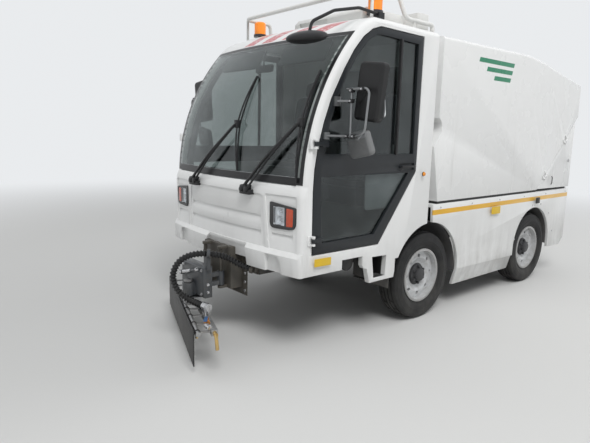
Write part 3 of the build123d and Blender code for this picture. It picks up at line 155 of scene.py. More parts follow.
class Finish:
    """One material, with the nodes that make it."""

    def __init__(self, name, roughness=0.5, metallic=0.0, coat=0.0):
        self.material = bpy.data.materials.new(name)
        self.material.use_nodes = True
        self.tree = self.material.node_tree
        self.surface = self.tree.nodes["Principled BSDF"]
        self.output = self.tree.nodes["Material Output"]
        first = {"Roughness": roughness, "Metallic": metallic, "Coat Weight": coat, "IOR": 1.45}
        for key, value in first.items():
            self.surface.inputs[key].default_value = value
        self.spot = None

    def feed(self, socket, value):
        if isinstance(value, Value):
            self.tree.links.new(value.socket, socket)
        elif isinstance(value, tuple) and len(value) == 3 and len(socket.default_value) == 4:
            socket.default_value = (*value, 1.0)
        else:
            socket.default_value = value

    def node(self, kind, settings, inputs, output=0):
        """A node of one kind, with its settings made first and its inputs set or linked."""
        made = self.tree.nodes.new(kind)
        for key, value in settings.items():
            setattr(made, key, value)
        for key, value in inputs.items():
            self.feed(made.inputs[key], value)
        return Value(self, made.outputs[output])

    def maths(self, operation, *operands):
        return self.node("ShaderNodeMath", {"operation": operation}, dict(enumerate(operands)))

    def place(self):
        """Object coordinates as three values, counted from the front axle's station."""
        if self.spot is None:
            coordinates = self.node("ShaderNodeTexCoord", {}, {}, "Object")
            parts = self.tree.nodes.new("ShaderNodeSeparateXYZ")
            self.tree.links.new(coordinates.socket, parts.inputs[0])
            x, y, z = (Value(self, parts.outputs[i]) for i in range(3))
            self.spot = (x - AXLE_X, y, z)
        return self.spot

    def vector(self, x, y, z):
        return self.node("ShaderNodeCombineXYZ", {}, {0: x, 1: y, 2: z})

    def noise(self, scale, detail=3.0, roughness=0.5, stretch=(1.0, 1.0, 1.0)):
        x, y, z = self.place()
        where = self.vector(x * stretch[0], y * stretch[1], z * stretch[2])
        return self.node("ShaderNodeTexNoise", {}, {"Vector": where, "Scale": scale, "Detail": detail,
                                                    "Roughness": roughness})

    def rise(self, value, low, high):
        """0 below low and 1 above high, smooth between; the other way round where low is the larger."""
        return self.node("ShaderNodeMapRange", {"interpolation_type": "SMOOTHSTEP"},
                         {"Value": value, "From Min": low, "From Max": high})

    def band(self, value, low, high, soft=0.001):
        """1 between low and high, 0 outside."""
        return self.rise(value, low - soft, low + soft) * self.rise(value, high + soft, high - soft)

    def mix(self, factor, first, second):
        return self.node("ShaderNodeMix", {"data_type": "RGBA"}, {0: factor, 6: first, 7: second}, 2)

    def look(self, colour=None, roughness=None, metallic=None, height=None, depth=0.001):
        """Feeds what changes over the surface."""
        for key, value in (("Base Color", colour), ("Roughness", roughness), ("Metallic", metallic)):
            if value is not None:
                self.feed(self.surface.inputs[key], value)
        if height is not None:
            bump = self.node("ShaderNodeBump", {}, {"Height": height, "Distance": depth})
            self.feed(self.surface.inputs["Normal"], bump)
        return self.material

    def show(self, factor, first, second):
        """Shows a mix of two shaders."""
        join = self.tree.nodes.new("ShaderNodeMixShader")
        self.feed(join.inputs[0], factor)
        self.tree.links.new(first.outputs[0], join.inputs[1])
        self.tree.links.new(second.outputs[0], join.inputs[2])
        self.tree.links.new(join.outputs[0], self.output.inputs["Surface"])
        return self.material


finishes = {}


def finish_named(name):
    """The material of that name, made when it is first asked for."""
    if name not in finishes:
        finishes[name] = FINISH_MAKERS[name](name)
    return finishes[name]


GRIME = (0.20, 0.185, 0.16)
LIGHT_DUST = (0.42, 0.40, 0.36)


def road_dirt(f, top, strength):
    """How much road dirt lies on a place: most near the road, in streaks and clouds."""
    z = f.place()[2]
    cloud = f.noise(4.5, 5.0, 0.6)
    streaks = f.noise(14.0, 4.0, 0.55, (1.0, 1.0, 0.12))
    height = f.rise(z, top, 0.15)
    return ((cloud * 0.9 + streaks * 0.8 - 0.62) * height * strength).kept()


def sprayed_white(name, marking, shade, dirt_top=1.0, dirt_share=1.0, dullness=0.24):
    """Sprayed white panels with a marking in its shade, and road dirt near the ground over both."""
    paint = bpy.context.scene.washer_paint
    f = Finish(name, coat=0.35)
    dirt = road_dirt(f, dirt_top, paint.grime * dirt_share)
    colour = f.mix(f.noise(2.2, 4.0) * 0.10, tuple(paint.white), LIGHT_DUST)
    colour = f.mix(marking(f), colour, tuple(shade))
    colour = f.mix(dirt, colour, GRIME)
    rough = f.noise(5.0, 3.0) * 0.12 + dullness + dirt * 0.4
    return f.look(colour, rough, height=f.noise(220.0, 2.0), depth=0.00025)


# Warning slants over the screen: from one to the next, the red share of that, how far each leans for its
# height, where they are counted from and how far they reach
SLANT_PITCH = 0.262
SLANT_SHARE = 0.58
SLANT_LEAN = 1.6
SLANT_SHIFT = 4.0554
SLANT_REACH = 0.95
# The brow that carries them
BROW_X = 0.86
BROW_LOW_Z = 2.292
BROW_TOP_Z = 2.388


def paint_cab(name):
    """The cab's white, with faded red and white warning slants along the brow over the screen."""
    def slants(f):
        x, y, z = f.place()
        along = y - z * SLANT_LEAN + SLANT_SHIFT
        slant = (along / SLANT_PITCH).fract() < SLANT_SHARE
        brow = f.band(z, BROW_LOW_Z, BROW_TOP_Z, 0.0015) * f.rise(x, BROW_X, BROW_X + 0.002)
        brow = brow * f.band(along, 0.0, SLANT_REACH)
        worn = f.rise(f.noise(38.0, 5.0, 0.65), 0.36, 0.5)
        return slant * brow * (worn * 0.6 + 0.32)
    return sprayed_white(name, slants, bpy.context.scene.washer_paint.warning)


def paint_lower(name):
    """The lower body's white with the ochre stripe along its top edge."""
    def stripe(f):
        y, z = f.place()[1:]
        return f.band(z, 0.913, 0.957) * f.rise(abs(y), 0.87, 0.876)
    return sprayed_white(name, stripe, bpy.context.scene.washer_paint.stripe, 1.05, 1.2, 0.26)


SIGN_BARS = (
    # start of the slant along the truck, its length, low edge, high edge
    (-0.42, 0.62, 2.235, 2.275),
    (-0.42, 0.46, 2.165, 2.205),
    (-0.42, 0.30, 2.095, 2.135),
)


def paint_tank(name):
    """The tank's glossy white moulding, with plain green slants where the photograph has its sign."""
    paint = bpy.context.scene.washer_paint
    f = Finish(name, coat=0.5)
    x, y, z = f.place()
    colour = f.mix(f.noise(1.6, 4.0) * 0.09, tuple(paint.white), LIGHT_DUST)
    side = f.rise(abs(y), 0.872, 0.878)
    lean = x + z * 0.35
    bars = None
    for start, length, low, high in SIGN_BARS:
        bar = f.band(lean, start, start + length) * f.band(z, low, high)
        bars = bar if bars is None else bars.most(bar)
    colour = f.mix(bars * side, colour, tuple(paint.sign))
    streaks = f.noise(11.0, 5.0, 0.6, (1.0, 1.0, 0.06))
    under = f.rise(streaks, 0.56, 0.8) * f.rise(z, 2.3, 1.1) * 0.22
    colour = f.mix(under, colour, GRIME)
    return f.look(colour, f.noise(4.0, 3.0) * 0.14 + 0.2 + under * 0.6, height=f.noise(6.0, 2.0), depth=0.002)


def plain_paint(colour, roughness, dirt_top=1.2, dirt_strength=0.6, wear=None, coat=0.0, grain=0.0002):
    """A maker of painted or moulded finishes: one colour, its dirt and, where asked for, worn spots."""
    def make(name):
        f = Finish(name, coat=coat)
        dirt = road_dirt(f, dirt_top, dirt_strength)
        shade = f.mix(f.noise(7.0, 4.0) * 0.25, colour, tuple(c * 0.72 + 0.012 for c in colour))
        rough = f.noise(24.0, 4.0) * 0.16 + (roughness - 0.08)
        if wear is not None:
            spots = f.rise(f.noise(46.0, 6.0, 0.7), 0.6, 0.66)
            shade = f.mix(spots, shade, wear)
            rough = rough + spots * 0.2
        shade = f.mix(dirt, shade, GRIME)
        return f.look(shade, rough + dirt * 0.25, height=f.noise(260.0, 3.0), depth=grain)
    return make


def bare_metal(colour, roughness, streak=(1.0, 1.0, 1.0), tarnish=(0.12, 0.11, 0.10), amount=0.5):
    """A maker of uncoated metals: brushed streaks and a dull film."""
    def make(name):
        f = Finish(name, metallic=1.0)
        brushed = f.noise(180.0, 3.0, 0.6, streak)
        film = f.rise(f.noise(9.0, 5.0, 0.6), 0.42, 0.75) * amount
        shade = f.mix(film, colour, tarnish)
        return f.look(shade, brushed * 0.2 + roughness + film * 0.3, metallic=1.0 - film * 0.7,
                      height=brushed, depth=0.00015)
    return make


SHEEN = (0.86, 0.89, 0.90)


def glass_pane(tint, film=0.05, border=False):
    """A maker of thin window glass: tinted, seen straight through, with its sheen from the angle."""
    def make(name):
        f = Finish(name, metallic=1.0)
        clear = f.tree.nodes.new("ShaderNodeBsdfTransparent")
        clear.inputs["Color"].default_value = (*tint, 1.0)
        facing = f.node("ShaderNodeLayerWeight", {}, {"Blend": 0.5}, "Facing")
        squared = facing * facing
        sheen = squared * squared * facing * 0.95 + 0.05
        dusty = f.rise(f.noise(2.4, 5.0, 0.6), 0.45, 0.8) * film
        cover = sheen + dusty
        rough = f.noise(3.0, 3.0) * 0.02 + 0.01
        if border:
            y, z = f.place()[1:]
            edge = f.rise(abs(y), 0.822, 0.827).most(f.rise(z, 1.290, 1.284)).most(f.rise(z, 2.252, 2.258))
            cover = cover + edge
            shade = f.mix(edge, SHEEN, (0.012, 0.012, 0.013))
            f.look(shade, rough + edge * 0.3, metallic=1.0 - edge)
        else:
            f.look(f.mix(dusty, SHEEN, (0.60, 0.60, 0.58)), rough)
        return f.show(cover.kept(), clear, f.surface)
    return make


def lamp_housing(name):
    """The headlamps' dark bezels with the bright reflectors in their wells."""
    f = Finish(name)
    y, z = f.place()[1:]
    well = f.band(abs(y), 0.624, 0.727, 0.0015) * f.band(z, 0.95, 1.076, 0.0015)
    bezel = f.mix(f.noise(30.0, 4.0) * 0.4, (0.035, 0.036, 0.038), (0.07, 0.068, 0.064))
    shade = f.mix(well, bezel, (0.78, 0.79, 0.80))
    return f.look(shade, 0.42 - well * 0.14, metallic=well * 0.7, height=f.noise(240.0, 2.0), depth=0.0002)


def lens(colour, pitch=150.0, ribs=0.0012):
    """A maker of ribbed coloured lamp lenses."""
    def make(name):
        f = Finish(name, coat=0.7)
        y, z = f.place()[1:]
        lines = (z * pitch).fract() * (y * pitch).fract()
        return f.look(f.mix(f.noise(14.0, 3.0) * 0.3, colour, tuple(c * 0.6 for c in colour)),
                      f.noise(20.0, 3.0) * 0.08 + 0.1, height=lines, depth=ribs)
    return make


def mirror_case(name):
    """The door mirrors: black heads on grey steel tubes."""
    f = Finish(name)
    x, y, z = f.place()
    head = f.rise(x, 1.086, 1.084) * f.rise(abs(y), 0.905, 0.91)
    cloud = f.noise(30.0, 4.0)
    steel = f.mix(cloud * 0.5, (0.30, 0.31, 0.32), (0.17, 0.17, 0.165))
    wide = f.rise(z, 1.62, 1.60)
    case = f.mix(wide, f.mix(cloud * 0.4, (0.010, 0.010, 0.011), (0.022, 0.022, 0.021)),
                 f.mix(cloud * 0.5, (0.16, 0.165, 0.17), (0.21, 0.21, 0.205)))
    return f.look(f.mix(head, steel, case), 0.3 + head * 0.16, metallic=(1.0 - head) * 0.7,
                  height=f.noise(300.0, 3.0), depth=0.0003)


def rubber(colour, roughness, dust=0.35):
    """A maker of rubber and tyre finishes: matt black with a grey bloom."""
    def make(name):
        f = Finish(name)
        bloom = f.rise(f.noise(12.0, 5.0, 0.62), 0.4, 0.75) * dust
        dirt = road_dirt(f, 0.6, 0.8)
        shade = f.mix(bloom, colour, (0.075, 0.073, 0.070))
        shade = f.mix(dirt * 0.22, shade, LIGHT_DUST)
        return f.look(shade, bloom * 0.25 + roughness, height=f.noise(300.0, 3.0), depth=0.0003)
    return make


def wheel_paint(name):
    """The rims' dull silver, with a black hub inside the stud circle and dust in the dish."""
    f = Finish(name, coat=0.1)
    x, _, z = f.place()
    nearest = abs(x).least(abs(x + WHEELBASE))
    up = z - AXLE_Z
    radius = f.maths("SQRT", nearest * nearest + up * up)
    hub = f.rise(radius, 0.099, 0.097)
    dust = f.rise(f.noise(26.0, 5.0, 0.6), 0.35, 0.75) * 0.5
    shade = f.mix(dust, (0.52, 0.53, 0.54), (0.30, 0.285, 0.26))
    shade = f.mix(hub, shade, (0.035, 0.035, 0.037))
    edge = f.rise(radius, 0.2, 0.224)
    shade = f.mix(edge * 0.5, shade, (0.20, 0.19, 0.175))
    return f.look(shade, dust * 0.3 + 0.38, height=f.noise(200.0, 3.0), depth=0.0003)


def beacon_lens(name):
    """The beacons' clear orange lens over its black foot, with a faint painted glow in the lens."""
    f = Finish(name, roughness=0.18, coat=0.4)
    foot = f.rise(f.place()[2], 2.49, 2.488)
    glow = f.noise(9.0, 2.0) * 0.25
    shade = f.mix(glow, (0.95, 0.25, 0.015), (1.0, 0.42, 0.05))
    # Painted glow: the lens gives off a faint light in its own orange, so that it reads bright
    f.surface.inputs["Emission Strength"].default_value = 0.12
    f.feed(f.surface.inputs["Emission Color"], f.mix(foot, shade, (0.0, 0.0, 0.0)))
    return f.look(f.mix(foot, shade, (0.03, 0.03, 0.032)), foot * 0.3 + 0.14)


def fabric_seat(name):
    """The seats' dark woven cloth."""
    f = Finish(name)
    x, y, z = f.place()
    weave = (x * 420.0).fract() * (y * 420.0).fract() + (z * 420.0).fract() * 0.5
    shade = f.mix(f.noise(16.0, 4.0), (0.032, 0.034, 0.038), (0.075, 0.078, 0.085))
    f.surface.inputs["Sheen Weight"].default_value = 0.3
    return f.look(shade, 0.85, height=weave, depth=0.0006)


FINISH_MAKERS = {
    "cab_white": paint_cab,
    "tank_white": paint_tank,
    "lower_white": paint_lower,
    "anthracite_frame": plain_paint((0.011, 0.0135, 0.016), 0.42, dirt_top=0.95, dirt_strength=0.3),
    "chassis_black": plain_paint((0.018, 0.018, 0.019), 0.6, dirt_strength=1.1),
    "mount_brown": plain_paint((0.062, 0.057, 0.048), 0.42, dirt_strength=0.7, wear=(0.13, 0.095, 0.065)),
    "head_slate": plain_paint((0.047, 0.054, 0.063), 0.38, 1.2, 0.6, wear=(0.10, 0.08, 0.065), coat=0.2),
    "cast_black": plain_paint((0.03, 0.03, 0.031), 0.62, dirt_strength=1.2, wear=(0.09, 0.055, 0.035)),
    "trim_black": plain_paint((0.016, 0.016, 0.017), 0.42, dirt_strength=0.5, grain=0.0004),
    "trim_grey": plain_paint((0.10, 0.105, 0.11), 0.55, dirt_strength=0.9, grain=0.0004),
    "liner_grey": plain_paint((0.085, 0.085, 0.088), 0.65, dirt_top=1.1, dirt_strength=1.3, grain=0.0006),
    "guard_white": plain_paint((0.72, 0.72, 0.70), 0.35, dirt_strength=0.2, coat=0.3),
    "roof_white": plain_paint((0.70, 0.70, 0.68), 0.4, dirt_strength=0.2, coat=0.2),
    "bar_steel": bare_metal((0.42, 0.42, 0.42), 0.3, (1.0, 0.1, 1.0)),
    "bright_steel": bare_metal((0.62, 0.62, 0.63), 0.14, amount=0.25),
    "nozzle_brass": bare_metal((0.72, 0.50, 0.20), 0.24, amount=0.4),
    "window_glass": glass_pane((0.66, 0.68, 0.67)),
    "screen_glass": glass_pane((0.66, 0.69, 0.68), border=True),
    "door_glass": glass_pane((0.62, 0.65, 0.65)),
    "lamp_glass": glass_pane((0.95, 0.96, 0.97), 0.02),
    "tyre_rubber": rubber((0.008, 0.008, 0.0085), 0.62, 0.18),
    "seal_rubber": rubber((0.012, 0.012, 0.013), 0.55, 0.2),
    "flap_rubber": rubber((0.016, 0.016, 0.017), 0.5, 0.5),
    "hose_rubber": rubber((0.008, 0.008, 0.0085), 0.34, 0.06),
    "wheel_paint": wheel_paint,
    "lamp_housing": lamp_housing,
    "indicator_lens": lens((0.62, 0.07, 0.015)),
    "marker_lens": lens((0.85, 0.30, 0.02), 240.0, 0.0006),
    "mirror_case": mirror_case,
    "mirror_glass": bare_metal((0.82, 0.84, 0.85), 0.02, amount=0.05),
    "tread_steel": bare_metal((0.50, 0.50, 0.49), 0.34, (1.0, 0.2, 1.0), amount=0.6),
    "label_yellow": plain_paint((0.72, 0.47, 0.02), 0.4, 1.1, 0.5, wear=(0.55, 0.40, 0.08)),
    "handle_blue": plain_paint((0.02, 0.10, 0.26), 0.35, dirt_strength=0.6, wear=(0.10, 0.14, 0.20)),
    "valve_bronze": bare_metal((0.66, 0.30, 0.10), 0.3, amount=0.45),
    "visor_grey": plain_paint((0.10, 0.105, 0.11), 0.6),
    "liner_pale": plain_paint((0.42, 0.43, 0.43), 0.6),
    "beacon_lens": beacon_lens,
    "seat_cloth": fabric_seat,
}


# Modelling helpers
def drop_selection():
    """Nothing is selected, and the next operator starts in object mode."""
    if bpy.context.object is not None and bpy.context.object.mode != "OBJECT":
        bpy.ops.object.mode_set(mode="OBJECT")
    bpy.ops.object.select_all(action="DESELECT")


def hold(piece):
    """Selects one piece alone and makes it active."""
    drop_selection()
    piece.select_set(True)
    bpy.context.view_layer.objects.active = piece
    return piece


def placed(name, data):
    """A new object made of some data, in the scene."""
    piece = bpy.data.objects.new(name, data)
    bpy.context.scene.collection.objects.link(piece)
    return piece


def settle(piece):
    """Applies a piece's place, turn and size to its mesh."""
    hold(piece)
    bpy.ops.object.transform_apply(location=True, rotation=True, scale=True)
    return piece


def modified(piece, kind, **settings):
    """A piece with one modifier of a kind made and applied."""
    hold(piece)
    modifier = piece.modifiers.new(kind.lower(), kind)
    for key, value in settings.items():
        setattr(modifier, key, value)
    bpy.ops.object.modifier_apply(modifier=modifier.name)
    return piece


def give(piece, finish_name):
    """One finish all over a piece."""
    piece.data.materials.clear()
    piece.data.materials.append(finish_named(finish_name))
    return piece


def ready(piece, name, body, finish_name, smooth=35.0):
    """Names a made piece, smooths its round faces, gives it its finish and sets it on its body."""
    hold(piece)
    piece.name = name
    piece.data.name = name
    bpy.ops.object.shade_smooth_by_angle(angle=math.radians(smooth))
    give(piece, finish_name)
    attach(piece, body)
    return piece


def ease(piece, width, segments=2, angle=40.0):
    """Rounds a piece's sharp edges."""
    return modified(piece, "BEVEL", width=width, segments=segments, limit_method="ANGLE",
                    angle_limit=math.radians(angle))


def open_mesh(piece):
    """Opens a piece's mesh for editing, all of it selected."""
    hold(piece)
    bpy.ops.object.mode_set(mode="EDIT")
    bpy.ops.mesh.select_all(action="SELECT")


def right_way_out(piece):
    """Merges a piece's doubles and turns its faces outwards."""
    open_mesh(piece)
    bpy.ops.mesh.remove_doubles(threshold=0.00001)
    bpy.ops.mesh.normals_make_consistent(inside=False)
    bpy.ops.object.mode_set(mode="OBJECT")
    return piece


def turned(profile, sides=32, ring=False):
    """A round piece about the upright axis, drawn out ring by ring along (radius, height) steps."""
    drop_selection()
    radius, height = profile[0]
    bpy.ops.mesh.primitive_circle_add(vertices=sides, radius=radius, fill_type="NOTHING" if ring else "NGON")
    piece = bpy.context.object
    open_mesh(piece)
    bpy.ops.transform.translate(value=(0.0, 0.0, height))
    steps = [*profile, profile[0]] if ring else profile
    for (r_a, h_a), (r_b, h_b) in zip(steps, steps[1:]):
        bpy.ops.mesh.extrude_region_move(TRANSFORM_OT_translate={"value": (0.0, 0.0, h_b - h_a)})
        bpy.ops.transform.resize(value=(r_b / r_a, r_b / r_a, 1.0), center_override=(0.0, 0.0, 0.0))
    return right_way_out(piece)


def stand(piece, spot, along, out):
    """Sets a piece at a station, its X along one direction and its Z facing out."""
    x = Vector(along).normalized()
    y = Vector(out).cross(x).normalized()
    piece.rotation_mode = "QUATERNION"
    piece.rotation_quaternion = Matrix((x, y, x.cross(y))).transposed().to_quaternion()
    piece.location = at(*spot)
    return settle(piece)


def box_between(low, high):
    """A sharp-edged block between two stations."""
    drop_selection()
    low, high = Vector(low), Vector(high)
    bpy.ops.mesh.primitive_cube_add(size=1.0, location=at(*((low + high) / 2)))
    bpy.context.object.scale = high - low
    return settle(bpy.context.object)


def boxy(low, high, edge=0.003):
    """A block between two stations with its edges rounded."""
    return ease(box_between(low, high), edge)


def frame_outline(low, high):
    """The four corners between two opposite ones."""
    return ((low[0], low[1]), (low[0], high[1]), (high[0], high[1]), (high[0], low[1]))


def rounded(corners, radius, steps=4):
    """An outline's points with each corner rounded, by one radius or by one for each corner."""
    points = []
    count = len(corners)
    radii = radius if isinstance(radius, tuple) else (radius,) * count
    for i in range(count):
        before, corner, after = (Vector(corners[k % count]) for k in (i - 1, i, i + 1))
        reach = min(radii[i], (before - corner).length / 2, (after - corner).length / 2)
        a = corner + (before - corner).normalized() * reach
        b = corner + (after - corner).normalized() * reach
        for k in range(steps + 1):
            s = k / steps
            points.append(a.lerp(corner, s).lerp(corner.lerp(b, s), s))
    return points


def centred(corners):
    """The middle of an outline's corners, and the corners counted from it."""
    middle = [sum(places) / len(corners) for places in zip(*corners)]
    return middle, [(u - middle[0], v - middle[1]) for u, v in corners]


def cut_sheet(outlines, thickness, edge=0.001):
    """A flat piece cut to outlines of (along, up) points, the later ones holes, with eased edges."""
    curve = bpy.data.curves.new("cut", "CURVE")
    curve.dimensions = "2D"
    curve.fill_mode = "BOTH"
    curve.extrude = thickness / 2 - edge
    curve.bevel_depth = edge
    curve.bevel_resolution = 1
    curve.offset = -edge
    for outline in outlines:
        line = curve.splines.new("POLY")
        line.points.add(len(outline) - 1)
        for point, (u, v) in zip(line.points, outline):
            point.co = (u, v, 0.0, 1.0)
        line.use_cyclic_u = True
    return meshed(curve)


def smooth_curve(name, stations):
    """A smooth curve led by stations, from the first to the last."""
    curve = bpy.data.curves.new(name, "CURVE")
    curve.dimensions = "3D"
    line = curve.splines.new("NURBS")
    line.points.add(len(stations) - 1)
    for point, station in zip(line.points, stations):
        point.co = (*at(*station), 1.0)
    line.order_u = min(3, len(stations))
    line.use_endpoint_u = True
    return curve


def pipe(stations, radius, sides=12):
    """A stiff round pipe or bar along a smooth line."""
    curve = smooth_curve("pipe", stations)
    curve.bevel_depth = radius
    curve.bevel_resolution = sides // 4 - 1
    curve.use_fill_caps = True
    return meshed(curve)


def meshed(curve):
    """A curve's own mesh, closed and turned the right way out."""
    hold(placed(curve.name, curve))
    bpy.ops.object.convert(target="MESH")
    return right_way_out(bpy.context.object)


def own_copy(piece):
    """Another such piece with its own mesh."""
    other = piece.copy()
    other.data = piece.data.copy()
    bpy.context.scene.collection.objects.link(other)
    return other


def copied(piece, shift=(0.0, 0.0, 0.0)):
    """Another such piece, moved from the first."""
    other = own_copy(piece)
    other.location = Vector(shift)
    return settle(other)


def other_side(piece):
    """The same piece on the truck's other side."""
    other = own_copy(piece)
    other.scale = (1.0, -1.0, 1.0)
    return right_way_out(settle(other))


def fused(pieces):
    """One piece made of several that share a finish."""
    drop_selection()
    for piece in pieces:
        piece.select_set(True)
    bpy.context.view_layer.objects.active = pieces[0]
    bpy.ops.object.join()
    return pieces[0]


def both_sides(piece, name, bodies, finish_name, smooth=35.0):
    """Readies a left piece and its twin on the right."""
    twin = other_side(piece)
    ready(piece, f"{name}_left", bodies[0], finish_name, smooth)
    ready(twin, f"{name}_right", bodies[1], finish_name, smooth)


# A bolt's washer as (radius, height), both as shares of the bolt's size
BOLT_WASHER = ((0.92, 0.0), (1.0, 0.06), (1.0, 0.18), (0.92, 0.24))


def hexagon_bolt(size, height):
    """A bolt head on its washer, standing on the ground plane."""
    washer = turned([(size * r, size * h) for r, h in BOLT_WASHER], 16)
    head = turned([(size * 0.74, size * 0.1), (size * 0.78, size * 0.2), (size * 0.78, height - size * 0.1),
                   (size * 0.66, height)], 6)
    return fused([washer, head])


def bolt_at(spot, size=0.013, height=0.010, along=LEFT, out=AHEAD):
    """A bolt at a station."""
    return stand(hexagon_bolt(size, height), spot, along, out)


def body_of(node):
    """The CAD body that a node rides on."""
    return frame["nodes"][node]["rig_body"]


def carved(piece, tool, way="DIFFERENCE"):
    """A piece with a tool taken from it, joined to it or kept within it; the tool is used up."""
    modified(piece, "BOOLEAN", operation=way, solver="EXACT", object=tool)
    bpy.data.objects.remove(tool)
    return piece


def tidy_mesh(piece, near, angle):
    """Merges a piece's close points and joins the faces that lie in one plane."""
    open_mesh(piece)
    bpy.ops.mesh.remove_doubles(threshold=near)
    if angle:
        bpy.ops.mesh.dissolve_limited(angle_limit=math.radians(angle))
    bpy.ops.object.mode_set(mode="OBJECT")
    return piece


def merged_copy(node, angle=0.6):
    """A copy of a node's mesh with its doubles merged and its flat triangles joined."""
    return tidy_mesh(placed(f"{node}_skin", frame["nodes"][node].data.copy()), 0.00002, angle)


def dressed(node, finish_name, edge, smooth):
    """A merged copy of a node with its edges eased, which stands for the node."""
    piece = merged_copy(node)
    if edge:
        ease(piece, edge)
    ready(piece, f"{node}_skin", body_of(node), finish_name, smooth)
    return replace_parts(piece, node)


def route_points(name, stations):
    """A hose's smooth line along its chosen points, as the curve itself gives it."""
    curve = smooth_curve(name, stations)
    curve.resolution_u = 24
    holder = placed(name, curve)
    bpy.context.view_layer.update()
    mesh = bpy.data.meshes.new_from_object(holder)
    points = [v.co.copy() for v in mesh.vertices]
    bpy.data.meshes.remove(mesh)
    bpy.data.objects.remove(holder)
    return points


def evenly(points, pitch):
    """The places along a line at an even pitch, each with the line's direction there."""
    lengths = [0.0]
    for a, b in zip(points, points[1:]):
        lengths.append(lengths[-1] + (b - a).length)
    total = lengths[-1]
    count = max(2, round(total / pitch))
    spots = []
    k = 0
    for i in range(count + 1):
        wanted = total * i / count
        while k < len(points) - 2 and lengths[k + 1] < wanted:
            k += 1
        span = lengths[k + 1] - lengths[k]
        spots.append((points[k].lerp(points[k + 1], (wanted - lengths[k]) / span),
                      (points[k + 1] - points[k]).normalized()))
    return spots, total


def skin_tube(name, spots, radii, sides):
    """A closed tube along placed rings, each with its own radius."""
    work = bmesh.new()
    rings = []
    across = spots[0][1].orthogonal().normalized()
    for (spot, way), radius in zip(spots, radii):
        across = (across - way * across.dot(way)).normalized()
        up = way.cross(across)
        ring = []
        for k in range(sides):
            angle = 2 * math.pi * k / sides
            ring.append(work.verts.new(spot + (across * math.cos(angle) + up * math.sin(angle)) * radius))
        rings.append(ring)
    for a, b in zip(rings, rings[1:]):
        for k in range(sides):
            work.faces.new((a[k], a[(k + 1) % sides], b[(k + 1) % sides], b[k]))
    work.faces.new(list(reversed(rings[0])))
    work.faces.new(rings[-1])
    bmesh.ops.recalc_face_normals(work, faces=work.faces)
    mesh = bpy.data.meshes.new(name)
    work.to_mesh(mesh)
    work.free()
    return placed(name, mesh)


# Sizes and colours that a user would change
def colour_setting(name, description, shade):
    """A colour that a user can change."""
    return bpy.props.FloatVectorProperty(name=name, description=description, subtype="COLOR", default=shade,
                                         min=0.0, max=1.0)


def amount_setting(name, description, value, most, least=0.0, unit="NONE"):
    """A number or a length that a user can change."""
    return bpy.props.FloatProperty(name=name, description=description, default=value, min=least, max=most,
                                   unit=unit)


class WasherPaint(bpy.types.PropertyGroup):
    white: colour_setting("White", "Cab and body paint", (0.78, 0.785, 0.78))
    stripe: colour_setting("Stripe", "Stripe along the lower body", (0.72, 0.40, 0.03))
    warning: colour_setting("Warning slants", "Faded red over the windscreen", (0.52, 0.075, 0.09))
    sign: colour_setting("Side slants", "Green slants on the tank", (0.01, 0.20, 0.10))
    grime: amount_setting("Road dirt", "How much dirt lies near the road", 0.8, 2.0)


class WasherHose(bpy.types.PropertyGroup):
    diameter: amount_setting("Diameter", "Outside of the corrugated hose", 0.052, 0.08, 0.01, "LENGTH")
    pitch: amount_setting("Ridge pitch", "From one ridge to the next", 0.025, 0.03, 0.003, "LENGTH")
    depth: amount_setting("Ridge depth", "How deep the grooves are", 0.0075, 0.01, 0.0, "LENGTH")


class WasherStage(bpy.types.PropertyGroup):
    floor: colour_setting("Floor", "Floor colour", (0.62, 0.62, 0.61))
    key: amount_setting("Key lamp", "Power of the large soft lamp", 820.0, 5000.0)
    sky: amount_setting("Sky", "Strength of the even light around", 0.42, 3.0)


# Camera from the photograph, with its place counted from the front axle's station
CAMERA_AT = (3.69227, 3.43479, 1.59201)
CAMERA_RIGHT = (-0.76153944, 0.64771614, 0.02283593)
CAMERA_UP = (-0.09386572, -0.14508646, 0.98495642)
CAMERA_AHEAD = (-0.64128536, -0.74793965, -0.1712874)
FOCAL_PIXELS = 517.5
PHOTO_WIDTH = 590.0
SKY_COLOUR = (0.93, 0.95, 0.97, 1.0)
SKY_SEEN = 0.88
# The floor fades into the sky between these distances from the front axle
FADE_NEAR = 4.5
FADE_FAR = 13.0
# Rays that see the sky and the far floor as bright as the background should look
SEEING_RAYS = ("Is Camera Ray", "Is Transmission Ray", "Is Glossy Ray")


